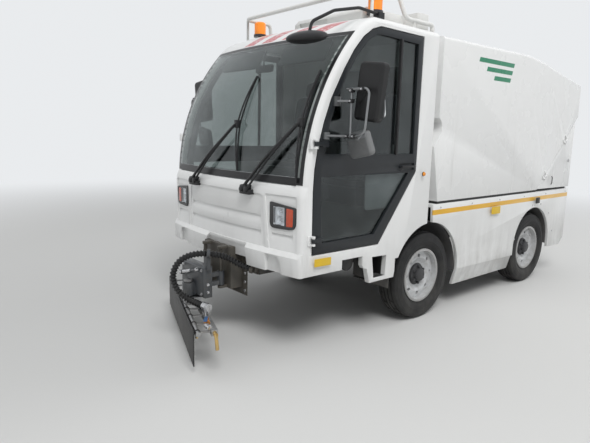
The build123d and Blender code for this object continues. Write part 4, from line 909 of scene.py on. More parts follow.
class SCENE_OT_washer_stage(bpy.types.Operator):
    """Floor, sky, soft lamps and the camera of the photograph"""

    bl_idname = "scene.washer_stage"
    bl_label = "Stage"

    def execute(self, context):
        settings = context.scene.washer_stage
        drop_selection()
        bpy.ops.mesh.primitive_plane_add(size=60.0, location=(0.0, 0.0, 0.0))
        floor = context.object
        floor.name = "floor"
        f = Finish("floor_pale", roughness=0.8)
        f.look(tuple(settings.floor), f.noise(3.0, 3.0) * 0.1 + 0.75)
        x, y, _ = f.place()
        far = f.rise(f.maths("SQRT", x * x + y * y), FADE_NEAR, FADE_FAR)
        haze = f.tree.nodes.new("ShaderNodeEmission")
        haze.inputs["Color"].default_value = SKY_COLOUR
        haze.inputs["Strength"].default_value = SKY_SEEN
        f.show(far * Value(f, self.seen(f.tree)), f.surface, haze)
        floor.data.materials.append(f.material)
        self.lamps(settings)
        self.sky(context, settings)
        self.camera(context)
        context.scene.view_settings.view_transform = "Standard"
        return {"FINISHED"}

    def seen(self, tree):
        """1 for a ray that the eye follows, straight or by glass or a mirror, and 0 for the rest."""
        rays = tree.nodes.new("ShaderNodeLightPath")
        socket = rays.outputs[SEEING_RAYS[0]]
        for kind in SEEING_RAYS[1:]:
            most = tree.nodes.new("ShaderNodeMath")
            most.operation = "MAXIMUM"
            tree.links.new(socket, most.inputs[0])
            tree.links.new(rays.outputs[kind], most.inputs[1])
            socket = most.outputs[0]
        return socket

    def lamps(self, settings):
        """One large key from the front left, a weaker fill from the right and a broad light from behind."""
        for name, spot, size, power in (
            ("key_lamp", (4.5, 6.5, 9.5), 5.0, settings.key),
            ("fill_lamp", (5.0, -8.0, 5.0), 8.0, settings.key * 0.16),
            ("rear_lamp", (-8.0, 3.0, 7.0), 7.0, settings.key * 0.45),
        ):
            lamp = bpy.data.lights.new(name, "AREA")
            lamp.shape = "DISK"
            lamp.size = size
            lamp.energy = power
            holder = placed(name, lamp)
            holder.visible_glossy = False
            holder.location = spot
            holder.rotation_mode = "QUATERNION"
            holder.rotation_quaternion = (Vector(UP) - Vector(spot)).to_track_quat("-Z", "Y")

    def sky(self, context, settings):
        """An even pale sky that lights the truck and stands behind it."""
        world = bpy.data.worlds.new("pale_sky")
        context.scene.world = world
        world.use_nodes = True
        tree = world.node_tree
        background = tree.nodes["Background"]
        strength = tree.nodes.new("ShaderNodeMapRange")
        tree.links.new(self.seen(tree), strength.inputs["Value"])
        strength.inputs["To Min"].default_value = settings.sky
        strength.inputs["To Max"].default_value = SKY_SEEN
        tree.links.new(strength.outputs[0], background.inputs["Strength"])
        background.inputs["Color"].default_value = SKY_COLOUR

    def camera(self, context):
        """The solved camera, fixed."""
        data = bpy.data.cameras.new("photo_camera")
        data.sensor_fit = "HORIZONTAL"
        data.sensor_width = 36.0
        data.lens = FOCAL_PIXELS / PHOTO_WIDTH * data.sensor_width
        data.clip_end = 200.0
        camera = placed("photo_camera", data)
        turn = Matrix((CAMERA_RIGHT, CAMERA_UP, [-c for c in CAMERA_AHEAD])).transposed()
        camera.rotation_mode = "QUATERNION"
        camera.rotation_quaternion = turn.to_quaternion()
        camera.location = at(*CAMERA_AT)
        context.scene.camera = camera


# Hoses: the same points as the frame's own tubes, in stations
HOSE_START = (1.474, 0.370, 0.566)
CLIP = Vector((1.742, 0.180, 0.684))
CLIP_WAY = Vector((0.869, -0.486, 0.091)).normalized()
PIVOT_X = 1.812
BAR_ANGLE = math.radians(20.5)
BAR_AHEAD = Vector((math.cos(BAR_ANGLE), -math.sin(BAR_ANGLE), 0.0))
BAR_LEFT = Vector((math.sin(BAR_ANGLE), math.cos(BAR_ANGLE), 0.0))


def on_bar(u, v, z):
    """A station on the spray bar: u along it to the left, v ahead of its middle line."""
    spot = Vector((PIVOT_X, 0.0, 0.0)) + BAR_LEFT * u + BAR_AHEAD * v
    return (spot.x, spot.y, z)


FEED_ROUTE = (HOSE_START, (1.525, 0.302, 0.584), (1.606, 0.236, 0.649), tuple(CLIP - CLIP_WAY * 0.058),
              tuple(CLIP))
DROP_ROUTE = (tuple(CLIP), tuple(CLIP + CLIP_WAY * 0.091), (1.9227, 0.066, 0.6409), (1.967, 0.029, 0.5205),
              (1.936, 0.0555, 0.3934), on_bar(0.1513, -0.0066, 0.3247), on_bar(0.268, -0.0764, 0.3226))
HOSES = (
    # piece, node, route, body at its start, body at its end
    ("feed_hose", "hose_feed", FEED_ROUTE, "vehicle", "bar_carriage"),
    ("drop_hose", "hose_drop", DROP_ROUTE, "bar_carriage", "bar"),
)
# How far each ring of one ridge is sunk, as a share of the ridge's depth
RIDGE = (0.0, 0.06, 0.75, 1.0, 1.0, 0.6)
HOSE_SIDES = 18


class OBJECT_OT_washer_hoses(bpy.types.Operator):
    """The two corrugated hoses of the spray bar"""

    bl_idname = "object.washer_hoses"
    bl_label = "Hoses"

    def execute(self, context):
        settings = context.scene.washer_hose
        for name, node, route, first, second in HOSES:
            spots, length = evenly(route_points(name, route), settings.pitch / len(RIDGE))
            crest = settings.diameter / 2
            radii = [crest - settings.depth * RIDGE[k % len(RIDGE)] for k in range(len(spots))]
            hose = hold(skin_tube(name, spots, radii, HOSE_SIDES))
            bpy.ops.object.shade_smooth()
            give(hose, "hose_rubber")
            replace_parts(hose, node)
            tuple(at(*route[0]))
            tuple(at(*route[0]))
            tuple(at(*route[-1]))
            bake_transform(hose)
        return {"FINISHED"}


SKINS = (
    # finish, width of the eased edge, nodes
    ("cab_white", 0.003, "cab_side_left cab_side_right cab_roof cab_rear_wall"),
    ("tank_white", 0.004, "tank_hood"),
    ("lower_white", 0.003, "lower_body"),
    ("tank_white", 0.002, "side_hatch_left side_hatch_right"),
    ("anthracite_frame", 0.003, "door_left door_right"),
    ("mirror_case", 0.0, "mirrors_left mirrors_right"),
    ("trim_black", 0.0, "front_mirror"),
    ("chassis_black", 0.002, "chassis_frame front_axle rear_axle knuckle_left knuckle_right"),
    ("chassis_black", 0.0, "tie_rod"),
    ("seal_rubber", 0.0, "rubber_strip"),
    ("liner_grey", 0.0, "arch_liners"),
    ("cast_black", 0.003, "pump_unit"),
    ("cast_black", 0.006, "engine"),
    ("trim_grey", 0.003, "cab_floor"),
    ("trim_black", 0.008, "dashboard"),
    ("trim_black", 0.002, "steering_wheel"),
    ("beacon_lens", 0.0, "beacons"),
    ("guard_white", 0.0, "roof_guard"),
    ("roof_white", 0.004, "roof_cooler"),
    ("mount_brown", 0.002, "bar_mount"),
    ("head_slate", 0.002, "bar_head"),
    ("bar_steel", 0.001, "spray_bar"),
    ("flap_rubber", 0.002, "bar_flap"),
    ("nozzle_brass", 0.0, "spray_nozzles"),
    ("screen_glass", 0.0, "windscreen"),
    ("window_glass", 0.0, "cab_rear_window"),
    ("door_glass", 0.0, "door_glass_left door_glass_right"),
    ("wheel_paint", 0.002, "rim_front_left rim_front_right rim_rear_left rim_rear_right"),
)


class OBJECT_OT_washer_skins(bpy.types.Operator):
    """Eased copies of the frame's own pieces in their finishes"""

    bl_idname = "object.washer_skins"
    bl_label = "Panels and castings"

    def execute(self, context):
        for finish_name, edge, nodes in SKINS:
            for node in nodes.split():
                dressed(node, finish_name, edge, 30.0 if finish_name.endswith("glass") else 35.0)
        return {"FINISHED"}


# Tyre section from its bead to the middle of the tread: (radius, distance off the middle)
TYRE_HALF = (
    (0.2225, 0.0745), (0.238, 0.0762), (0.2455, 0.083), (0.2495, 0.0862), (0.2535, 0.0862), (0.256, 0.0885),
    (0.270, 0.0965), (0.286, 0.1022), (0.2990, 0.1042), (0.3005, 0.1054), (0.3045, 0.1054), (0.306, 0.1042),
    (0.324, 0.1034), (0.340, 0.1004), (0.3415, 0.1012), (0.346, 0.1002), (0.3475, 0.0985), (0.358, 0.0955),
    (0.370, 0.0905), (0.3775, 0.0832), (0.3818, 0.0668), (0.3822, 0.0590), (0.3745, 0.0575), (0.3745, 0.0515),
    (0.3829, 0.0500), (0.3834, 0.0230), (0.3752, 0.0218), (0.3752, 0.0150), (0.3835, 0.0135),
)
TYRE_SIDES = 96
WHEEL_PLACES = ("front_left", "front_right", "rear_left", "rear_right")
LUG_DEPTH = 0.006
# Where the shoulders' lugs and the middle rib's cuts lie: least radius, then least and most off the middle
SHOULDER_BELT = (0.372, 0.061, 0.088)
RIB_BELT = (0.381, 0.024, 0.049)


class OBJECT_OT_washer_tyres(bpy.types.Operator):
    """The four tyres with road tread, shoulder lugs and ringed side walls"""

    bl_idname = "object.washer_tyres"
    bl_label = "Tyres"

    def execute(self, context):
        section = [*TYRE_HALF, *((radius, -y) for radius, y in reversed(TYRE_HALF))]
        model = turned(section, TYRE_SIDES, ring=True)
        self.cut_lugs(model)
        for place in WHEEL_PLACES:
            node = f"tyre_{place}"
            low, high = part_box(node)
            tyre = copied(model)
            outward = Vector((0.0, 1.0 if low.y > 0 else -1.0, 0.0))
            tyre.location = (low + high) / 2
            tyre.rotation_mode = "QUATERNION"
            tyre.rotation_quaternion = Vector(UP).rotation_difference(outward)
            settle(tyre)
            ready(tyre, f"{node}_treaded", body_of(node), "tyre_rubber", 28.0)
            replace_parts(tyre, node)
        bpy.data.objects.remove(model)
        return {"FINISHED"}

    def lies_in(self, spot, belt):
        """Whether a place on the tyre lies in a belt of its tread."""
        radius, inner, outer = belt
        return math.hypot(spot.x, spot.y) > radius and inner < abs(spot.z) < outer

    def cut_lugs(self, model):
        """Sinks every second block of the two shoulders, and thin cuts across the middle rib."""
        pitch = 2 * math.pi / TYRE_SIDES
        for face in model.data.polygons:
            spot = face.center
            turn = int(round(math.atan2(spot.y, spot.x) / pitch - 0.5))
            shoulder = self.lies_in(spot, SHOULDER_BELT) and turn % 2 == 0
            shifted = turn + (1 if spot.z > 0 else 0)
            rib = self.lies_in(spot, RIB_BELT) and shifted % 4 == 0
            face.select = shoulder or rib
        hold(model)
        for part in (model.data.vertices, model.data.edges):
            for item in part:
                item.select = False
        bpy.ops.object.mode_set(mode="EDIT")
        bpy.ops.mesh.select_mode(type="FACE")
        bpy.ops.mesh.extrude_region_shrink_fatten(TRANSFORM_OT_shrink_fatten={"value": -LUG_DEPTH})
        bpy.ops.mesh.select_mode(type="VERT")
        bpy.ops.object.mode_set(mode="OBJECT")


# The nose, bowed about an upright axis; below LEAN_TOP_Z it falls back by NOSE_LEAN over LEAN_HEIGHT
NOSE_X = 1.520
NOSE_BOW = 5.150
NOSE_SIDES = 720
NOSE_LEAN = 0.008
LEAN_TOP_Z = 1.130
LEAN_HEIGHT = 0.83
NOSE_HEIGHTS = (0.30, LEAN_TOP_Z, 1.15, 1.17, 1.19, 1.21, 1.235)
ROLL_Z = 1.185
PANEL_DEPTH = 0.007
GROOVE_DEPTH = 0.014
# Outlines in the front view are (Y, Z)
MIDDLE_PANEL = ((-0.5405, 0.7685), (-0.503, 1.150), (0.503, 1.150), (0.5405, 0.7685))
LAMP_PANEL = ((0.5765, 0.7685), (0.533, 1.158), (0.836, 1.158), (0.836, 0.7685))
PANEL_RADII = (0.0, 0.024, 0.024, 0.0)
# Each groove: lowest and highest distance off the middle, height of its upper lip, height
MIDDLE_GROOVES = ((-0.486, 0.486, 0.999, 0.046), (-0.490, 0.490, 0.886, 0.046))
LAMP_GROOVE = (0.600, 0.800, 0.886, 0.042)
LAMP_WINDOW = ((0.585, 0.920), (0.585, 1.107), (0.828, 1.082), (0.828, 0.926))
LAMP_RADII = (0.046, 0.010, 0.012, 0.058)
POCKET = ((0.560, 0.560), (0.560, 0.731), (0.714, 0.731), (0.714, 0.560))
POCKET_RADII = (0.0, 0.004, 0.070, 0.0)
LENS_CORNERS = ((0.6235, 0.9495), (0.6235, 1.0765), (0.7275, 1.0745), (0.7275, 0.9515))
INDICATOR_CORNERS = ((0.742, 0.945), (0.742, 1.075), (0.806, 1.071), (0.803, 0.949))
LENS_RADII = (0.014, 0.012, 0.008, 0.008)
REFLECTOR_Y = 0.675
REFLECTOR_HEIGHTS = (0.981, 1.044)
# The bumper's bevel along its top, its rounded end and the steps of its profile
BEVEL_Z = 0.738
BUMPER_TOP_Z = 0.769
BUMPER_END = (1.4256, 0.844)
BUMPER_RADIUS = 0.045
# Cutters reach through the nose from this station, this far along the truck
CUTTER_X = 1.54
CUTTER_LENGTH = 0.32


def nose_place(y, z):
    """The nose skin's place at a distance off the middle and a height, the way along it and out of it."""
    lean = NOSE_LEAN * (LEAN_TOP_Z - z) / LEAN_HEIGHT
    x = NOSE_X - lean - NOSE_BOW + math.sqrt(NOSE_BOW ** 2 - y ** 2)
    slope = y / NOSE_BOW
    return Vector((x, y, z)), Vector((-slope, 1.0, 0.0)).normalized(), Vector((1.0, slope, 0.0)).normalized()


def about_bow(profile, ring=False):
    """A round piece about the nose's upright axis."""
    piece = turned(profile, NOSE_SIDES, ring)
    piece.location = at(NOSE_X - NOSE_BOW, 0.0, 0.0)
    return settle(piece)


def nose_solid(depth):
    """The cab's bowed front as a solid about its upright axis, moved in by a depth."""
    profile = []
    for z in NOSE_HEIGHTS:
        above = max(0.0, z - LEAN_TOP_Z)
        lean = NOSE_LEAN * max(0.0, LEAN_TOP_Z - z) / LEAN_HEIGHT
        roll = (2.0 + 15.0 * max(0.0, z - ROLL_Z)) * above ** 2
        profile.append((NOSE_BOW - depth - (lean + roll), z))
    return about_bow(profile)


def front_block(outline):
    """A front-view outline drawn out along the truck, right through the nose's skin."""
    return stand(cut_sheet([outline], CUTTER_LENGTH, 0.0), (CUTTER_X, 0.0, 0.0), LEFT, AHEAD)


def nose_cutter(corners, radii, depth):
    """What cuts a front-view outline into the nose down to a depth under its skin."""
    return carved(front_block(rounded(corners, radii)), nose_solid(depth))


def nose_ring(profile):
    """A ring about the bow axis, from steps of (distance out of the skin, height)."""
    return about_bow([(NOSE_BOW - NOSE_LEAN * 0.35 + out, z) for out, z in profile], ring=True)


def nose_groove(low_y, high_y, lip_z, height):
    """The cut of a pressed groove: deep under its upper lip, running out at its lower edge."""
    low_z = lip_z - height
    wedge = nose_ring(((0.010, lip_z), (-PANEL_DEPTH - GROOVE_DEPTH, lip_z), (-PANEL_DEPTH + 0.0005, low_z),
                       (0.010, low_z)))
    reach = front_block(rounded(frame_outline((low_y, lip_z - 0.1), (high_y, lip_z + 0.05)), 0.0))
    return carved(wedge, reach, "INTERSECT")


class OBJECT_OT_washer_nose(bpy.types.Operator):
    """The cab's nose with its pressed panels, grooves, lamp windows and bumper"""

    bl_idname = "object.washer_nose"
    bl_label = "Nose"

    def execute(self, context):
        nose = merged_copy("cab_front", 0.0)
        filler = box_between((1.38, -0.836, 0.655), (1.70, 0.836, 1.115))
        carved(filler, nose_solid(0.004), "INTERSECT")
        carved(nose, carved(filler, nose_solid(0.018)), "UNION")
        carved(nose, nose_cutter(MIDDLE_PANEL, PANEL_RADII, PANEL_DEPTH))
        for groove in MIDDLE_GROOVES:
            carved(nose, nose_groove(*groove))
        for make in (
            lambda: nose_cutter(LAMP_PANEL, PANEL_RADII, PANEL_DEPTH),
            lambda: nose_cutter(LAMP_WINDOW, LAMP_RADII, 0.1),
            lambda: nose_groove(*LAMP_GROOVE),
            lambda: nose_cutter(POCKET, POCKET_RADII, PANEL_DEPTH),
            self.bumper_corner,
        ):
            tool = make()
            carved(nose, other_side(tool))
            carved(nose, tool)
        bevel = ((0.0203, BEVEL_Z), (0.060, BEVEL_Z), (0.060, BUMPER_TOP_Z), (-0.0002, BUMPER_TOP_Z))
        carved(nose, nose_ring(bevel))
        tidy_mesh(nose, 0.0006, 0.4)
        ease(nose, 0.005, 3)
        ready(nose, "cab_front_skin", body_of("cab_front"), "cab_white", 30.0)
        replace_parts(nose, "cab_front")
        return {"FINISHED"}

    def bumper_corner(self):
        """What rounds the bumper's end."""
        x, y = BUMPER_END
        drop_selection()
        bpy.ops.mesh.primitive_cylinder_add(vertices=64, radius=BUMPER_RADIUS, depth=0.30,
                                            location=at(x, y, 0.70))
        core = settle(bpy.context.object)
        return carved(box_between((x, y, 0.58), (1.52, 0.91, 0.7675)), core)


def lens_sheet(corners, radius, thickness, sunk, edge):
    """A lens cut to a front-view outline and set into the nose, its face a little under the skin."""
    middle, outline = centred(corners)
    spot, along, out = nose_place(*middle)
    piece = cut_sheet([rounded(outline, radius)], thickness, edge)
    return stand(piece, spot - out * (sunk + thickness / 2), along, out)


MARKER_X = 0.160
MARKER_Z = 1.275
MARKER_BASE = ((0.018, 0.0), (0.019, 0.002), (0.019, 0.004), (0.017, 0.006))
MARKER_DOME = ((0.0165, 0.0), (0.0165, 0.008), (0.0155, 0.012), (0.013, 0.015), (0.009, 0.017),
               (0.003, 0.018))
BULB = ((0.012, 0.0), (0.012, 0.004), (0.0075, 0.007), (0.0075, 0.017), (0.004, 0.020))
SILL_LAMP = ((0.030, -0.060), (0.046, -0.052), (0.056, -0.030), (0.058, -0.004), (0.058, 0.010),
             (0.053, 0.014), (0.050, 0.010), (0.046, 0.007), (0.030, 0.0075), (0.012, 0.012))


class OBJECT_OT_washer_lamps(bpy.types.Operator):
    """Headlamp lenses, indicators, side markers and the round lamps under the sills"""

    bl_idname = "object.washer_lamps"
    bl_label = "Lamps"

    def execute(self, context):
        self.housings()
        (inner, low), (_, high), (outer, high_out), (_, low_out) = LENS_CORNERS
        split = (low + high) / 2
        under, over = split - 0.002, split + 0.002
        halves = [lens_sheet(corners, 0.012, 0.003, 0.002, 0.0008) for corners in (
            ((inner, low), (inner, under), (outer, under), (outer, low_out)),
            ((inner, over), (inner, high), (outer, high_out), (outer, over)),
        )]
        both_sides(fused(halves), "headlamp_lens", ON_TRUCK, "lamp_glass")
        bulbs = []
        for z in REFLECTOR_HEIGHTS:
            spot, along, out = nose_place(REFLECTOR_Y, z)
            bulbs.append(stand(turned(BULB, 20), spot - out * 0.0295, along, out))
        both_sides(fused(bulbs), "headlamp_bulbs", ON_TRUCK, "bright_steel")
        indicator = lens_sheet(INDICATOR_CORNERS, 0.010, 0.0052, -0.0008, 0.002)
        both_sides(indicator, "indicator", ON_TRUCK, "indicator_lens")
        base = stand(turned(MARKER_BASE), (MARKER_X, HALF_WIDTH, MARKER_Z), AHEAD, LEFT)
        both_sides(base, "marker_base", ON_TRUCK, "trim_black")
        dome = stand(turned(MARKER_DOME), (MARKER_X, HALF_WIDTH + 0.0005, MARKER_Z), AHEAD, LEFT)
        both_sides(dome, "marker_lens", ON_TRUCK, "marker_lens")
        shell = turned(SILL_LAMP, 36)
        stay = boxy((0.895, 0.780, 0.648), (0.945, 0.800, 0.700))
        stand(shell, (0.921, 0.812, 0.622), AHEAD, (0.15, 1, -0.05))
        both_sides(fused([shell, stay]), "sill_lamp", ON_TRUCK, "trim_black")
        return {"FINISHED"}

    def housings(self):
        """The two lamp housings: a bezel round a well with two bowls, and the indicator's seat."""
        gap = 0.001
        inset = [(y + (gap if y < 0.7 else -gap), z + (gap if z < 1.0 else -gap)) for y, z in LAMP_WINDOW]
        housing = front_block(rounded(inset, LAMP_RADII))
        carved(carved(housing, nose_solid(-0.0012), "INTERSECT"), nose_solid(0.040))
        carved(housing, nose_cutter(LENS_CORNERS, LENS_RADII, 0.014))
        carved(housing, nose_cutter(INDICATOR_CORNERS, LENS_RADII, 0.005))
        for z in REFLECTOR_HEIGHTS:
            spot, _, out = nose_place(REFLECTOR_Y, z)
            drop_selection()
            bpy.ops.mesh.primitive_uv_sphere_add(segments=48, ring_count=24, radius=0.038,
                                                 location=at(*(spot + out * 0.008)))
            carved(housing, settle(bpy.context.object))
        tidy_mesh(housing, 0.0004, 0.3)
        ease(housing, 0.002, 2)
        housing = fused([housing, other_side(housing)])
        ready(housing, "headlamp_housings", body_of("headlamps"), "lamp_housing", 30.0)
        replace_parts(housing, "headlamps")


def side_plate(corners, radius, thickness, y=HALF_WIDTH, edge=0.0008):
    """A flat plate on the truck's left side, cut to an outline of (station, height) corners."""
    (x, z), outline = centred(corners)
    piece = cut_sheet([rounded(outline, radius)], thickness, edge)
    return stand(piece, (x, y + thickness / 2, z), AHEAD, RIGHT)


def on_side(profile, sides, x, z, out=0.0):
    """A round piece that stands out of the truck's left side."""
    return stand(turned(profile, sides), (x, HALF_WIDTH + out, z), AHEAD, LEFT)


LOCK = ((0.020, 0.0), (0.021, 0.002), (0.021, 0.004), (0.015, 0.006), (0.0145, 0.009), (0.012, 0.010),
        (0.0115, 0.0088), (0.003, 0.0088))
SCREW = ((0.009, 0.0), (0.009, 0.001), (0.0075, 0.0032), (0.004, 0.0042), (0.0035, 0.003))
SILL_LABEL = ((1.180, 0.670), (1.180, 0.727), (1.340, 0.729), (1.340, 0.674))
GRIP_X = -2.246
# The grip's line: how far it lies under the side, height
GRIP_LINE = ((0.011, 1.075), (0.002, 1.082), (0.002, 1.120), (0.002, 1.158), (0.011, 1.165))
# Low and high corner of each wall of the dark box behind the step's pocket
STEP_BOX = (
    ((0.540, 0.700, 0.476), (0.720, 0.706, 0.664)),
    ((0.534, 0.700, 0.476), (0.540, 0.838, 0.664)),
    ((0.720, 0.700, 0.476), (0.726, 0.838, 0.664)),
    ((0.534, 0.700, 0.658), (0.726, 0.838, 0.664)),
    ((0.534, 0.700, 0.460), (0.726, 0.838, 0.466)),
)


class OBJECT_OT_washer_side_fittings(bpy.types.Operator):
    """Blank labels, latches, locks, the step's rung and the screws along the tank"""

    bl_idname = "object.washer_side_fittings"
    bl_label = "Side fittings"

    def execute(self, context):
        labels = [
            side_plate(frame_outline((-1.146, 0.842), (-0.981, 0.915)), 0.006, 0.0012, edge=0.0004),
            side_plate(SILL_LABEL, 0.005, 0.0012, edge=0.0004),
        ]
        both_sides(fused(labels), "blank_label", ON_TRUCK, "label_yellow")
        latch = [
            side_plate(frame_outline((-1.988, 0.883), (-1.895, 0.948)), 0.010, 0.004, edge=0.0015),
            side_plate(frame_outline((-1.974, 0.896), (-1.909, 0.935)), 0.006, 0.009, edge=0.002),
        ]
        both_sides(fused(latch), "side_latch", ON_TRUCK, "trim_black")
        both_sides(on_side(LOCK, 28, -2.610, 1.335), "locker_lock", ON_LOCKERS, "bright_steel")
        grip = pipe([(GRIP_X, HALF_WIDTH - under, z) for under, z in GRIP_LINE], 0.005)
        both_sides(grip, "locker_grip", ON_LOCKERS, "trim_black")
        self.step()
        self.screws()
        return {"FINISHED"}

    def step(self):
        """A bright tread rung with raised dashes, in front of a dark box behind the pocket."""
        rung = [boxy((0.552, 0.790, 0.466), (0.692, 0.880, 0.484), 0.003)]
        for row in range(3):
            for column in range(4):
                x = 0.570 + 0.034 * column + (0.010 if row % 2 else 0.0)
                y = 0.808 + 0.024 * row
                rung.append(boxy((x, y, 0.4835), (x + 0.016, y + 0.005, 0.4862), 0.0009))
        both_sides(fused(rung), "step_rung", ON_TRUCK, "tread_steel")
        walls = [boxy(low, high, 0.001) for low, high in STEP_BOX]
        both_sides(fused(walls), "step_box", ON_TRUCK, "trim_black")

    def screws(self):
        """Small domed screws on the lower body, over the wheel arches."""
        head = on_side(SCREW, 12, 0.0, 0.0)
        turns = [math.radians(degrees) for degrees in (14, 46, 78, 102, 134, 166)]
        spots = [(-WHEELBASE + 0.452 * math.cos(turn), 0.428 + 0.452 * math.sin(turn)) for turn in turns]
        spots += [(x, 0.978) for x in (-0.12, -0.62, -1.12, -1.62, -2.12, -2.62)]
        heads = [copied(head, (x, 0.0, z)) for x, z in spots]
        bpy.data.objects.remove(head)
        both_sides(fused(heads), "side_screws", ON_TRUCK, "bright_steel")


# Places of the mirror tubes' clamps: (distance off the middle, height)
MIRROR_CLAMPS = ((0.987, 1.800), (0.987, 1.868), (1.084, 1.874), (0.962, 1.568), (1.020, 1.568))


class OBJECT_OT_washer_mirror_fittings(bpy.types.Operator):
    """Mirror glasses, clamps and bolts"""

    bl_idname = "object.washer_mirror_fittings"
    bl_label = "Mirror fittings"

    def execute(self, context):
        tall = cut_sheet([rounded(frame_outline((-0.092, -0.178), (0.092, 0.178)), 0.026)], 0.003)
        stand(tall, (1.0025, 1.074, 1.862), (0, -math.cos(0.122), -math.sin(0.122)), (-1, 0, 0))
        wide = cut_sheet([rounded(frame_outline((-0.084, -0.074), (0.084, 0.074)), 0.022)], 0.003)
        turn = Matrix.Rotation(math.radians(12), 3, "X") @ Matrix.Rotation(math.radians(14), 3, "Y")
        back = turn @ Vector((-1.0, 0.0, 0.0))
        stand(wide, Vector((1.029, 1.012, 1.520)) + back * 0.0015, turn @ Vector(RIGHT), back)
        both_sides(fused([tall, wide]), "mirror_glass", ON_DOORS, "mirror_glass")
        clamps, bolts = [], []
        for y, z in MIRROR_CLAMPS:
            clamps.append(boxy((1.106, y - 0.015, z - 0.014), (1.140, y + 0.015, z + 0.014), 0.004))
            bolts.append(bolt_at((1.139, y, z), 0.008, 0.007))
        both_sides(fused(clamps), "mirror_clamps", ON_DOORS, "trim_black")
        both_sides(fused(bolts), "mirror_bolts", ON_DOORS, "bright_steel", 30.0)
        return {"FINISHED"}


# Profiles of turned pieces: (radius, height)
HOSE_NUT = ((0.027, 0.0), (0.031, 0.002), (0.031, 0.012), (0.028, 0.014), (0.028, 0.018), (0.032, 0.020),
            (0.032, 0.034), (0.029, 0.037))
HOSE_COLLAR = ((0.0285, 0.0), (0.030, 0.002), (0.030, 0.007), (0.0285, 0.009))
UNION = ((0.014, 0.0), (0.017, 0.002), (0.017, 0.020), (0.014, 0.022), (0.014, 0.030), (0.018, 0.032),
         (0.018, 0.050), (0.013, 0.052), (0.013, 0.066))
VALVE_BODY = ((0.016, 0.0), (0.022, 0.003), (0.022, 0.030), (0.017, 0.034), (0.017, 0.044))
VALVE_STEM = ((0.011, 0.0), (0.013, 0.003), (0.013, 0.030), (0.010, 0.034))
VALVE_PLUG = ((0.012, 0.0), (0.015, 0.003), (0.015, 0.022), (0.011, 0.026))
PIPE_CLAMP = ((0.0175, -0.009), (0.0205, -0.009), (0.0215, -0.007), (0.0215, 0.007), (0.0205, 0.009),
              (0.0175, 0.009))
BALL_END = ((0.004, -0.016), (0.011, -0.0125), (0.0158, -0.006), (0.0165, 0.0), (0.0158, 0.006),
            (0.011, 0.0125), (0.004, 0.016))
ROD_SLEEVE = ((0.0095, 0.0), (0.0125, 0.003), (0.0125, 0.120), (0.0105, 0.124))
HANDLE_OUTLINE = ((-0.012, -0.010), (-0.012, 0.010), (0.075, 0.014), (0.082, 0.0), (0.075, -0.014))
# The thin pipe behind the bar: (along the bar, ahead of its middle line, height)
BYPASS = ((0.300, -0.072, 0.318), (0.420, -0.064, 0.312), (0.520, -0.045, 0.300))
# Ends of the swing rod on the head box
ROD_LOW = Vector((1.798, -0.135, 0.485))
ROD_HIGH = Vector((1.798, 0.105, 0.555))
BAR_TIES = 9
TIE_SPAN = 1.25


def along_bar(piece, u, v, z, way=(1.0, 0.0, 0.0)):
    """Stands a piece at a place of the spray bar, its axis along (left, ahead, up) of the bar."""
    left, ahead, up = way
    out = BAR_LEFT * left + BAR_AHEAD * ahead + Vector((0.0, 0.0, up))
    return stand(piece, on_bar(u, v, z), out.orthogonal(), out)


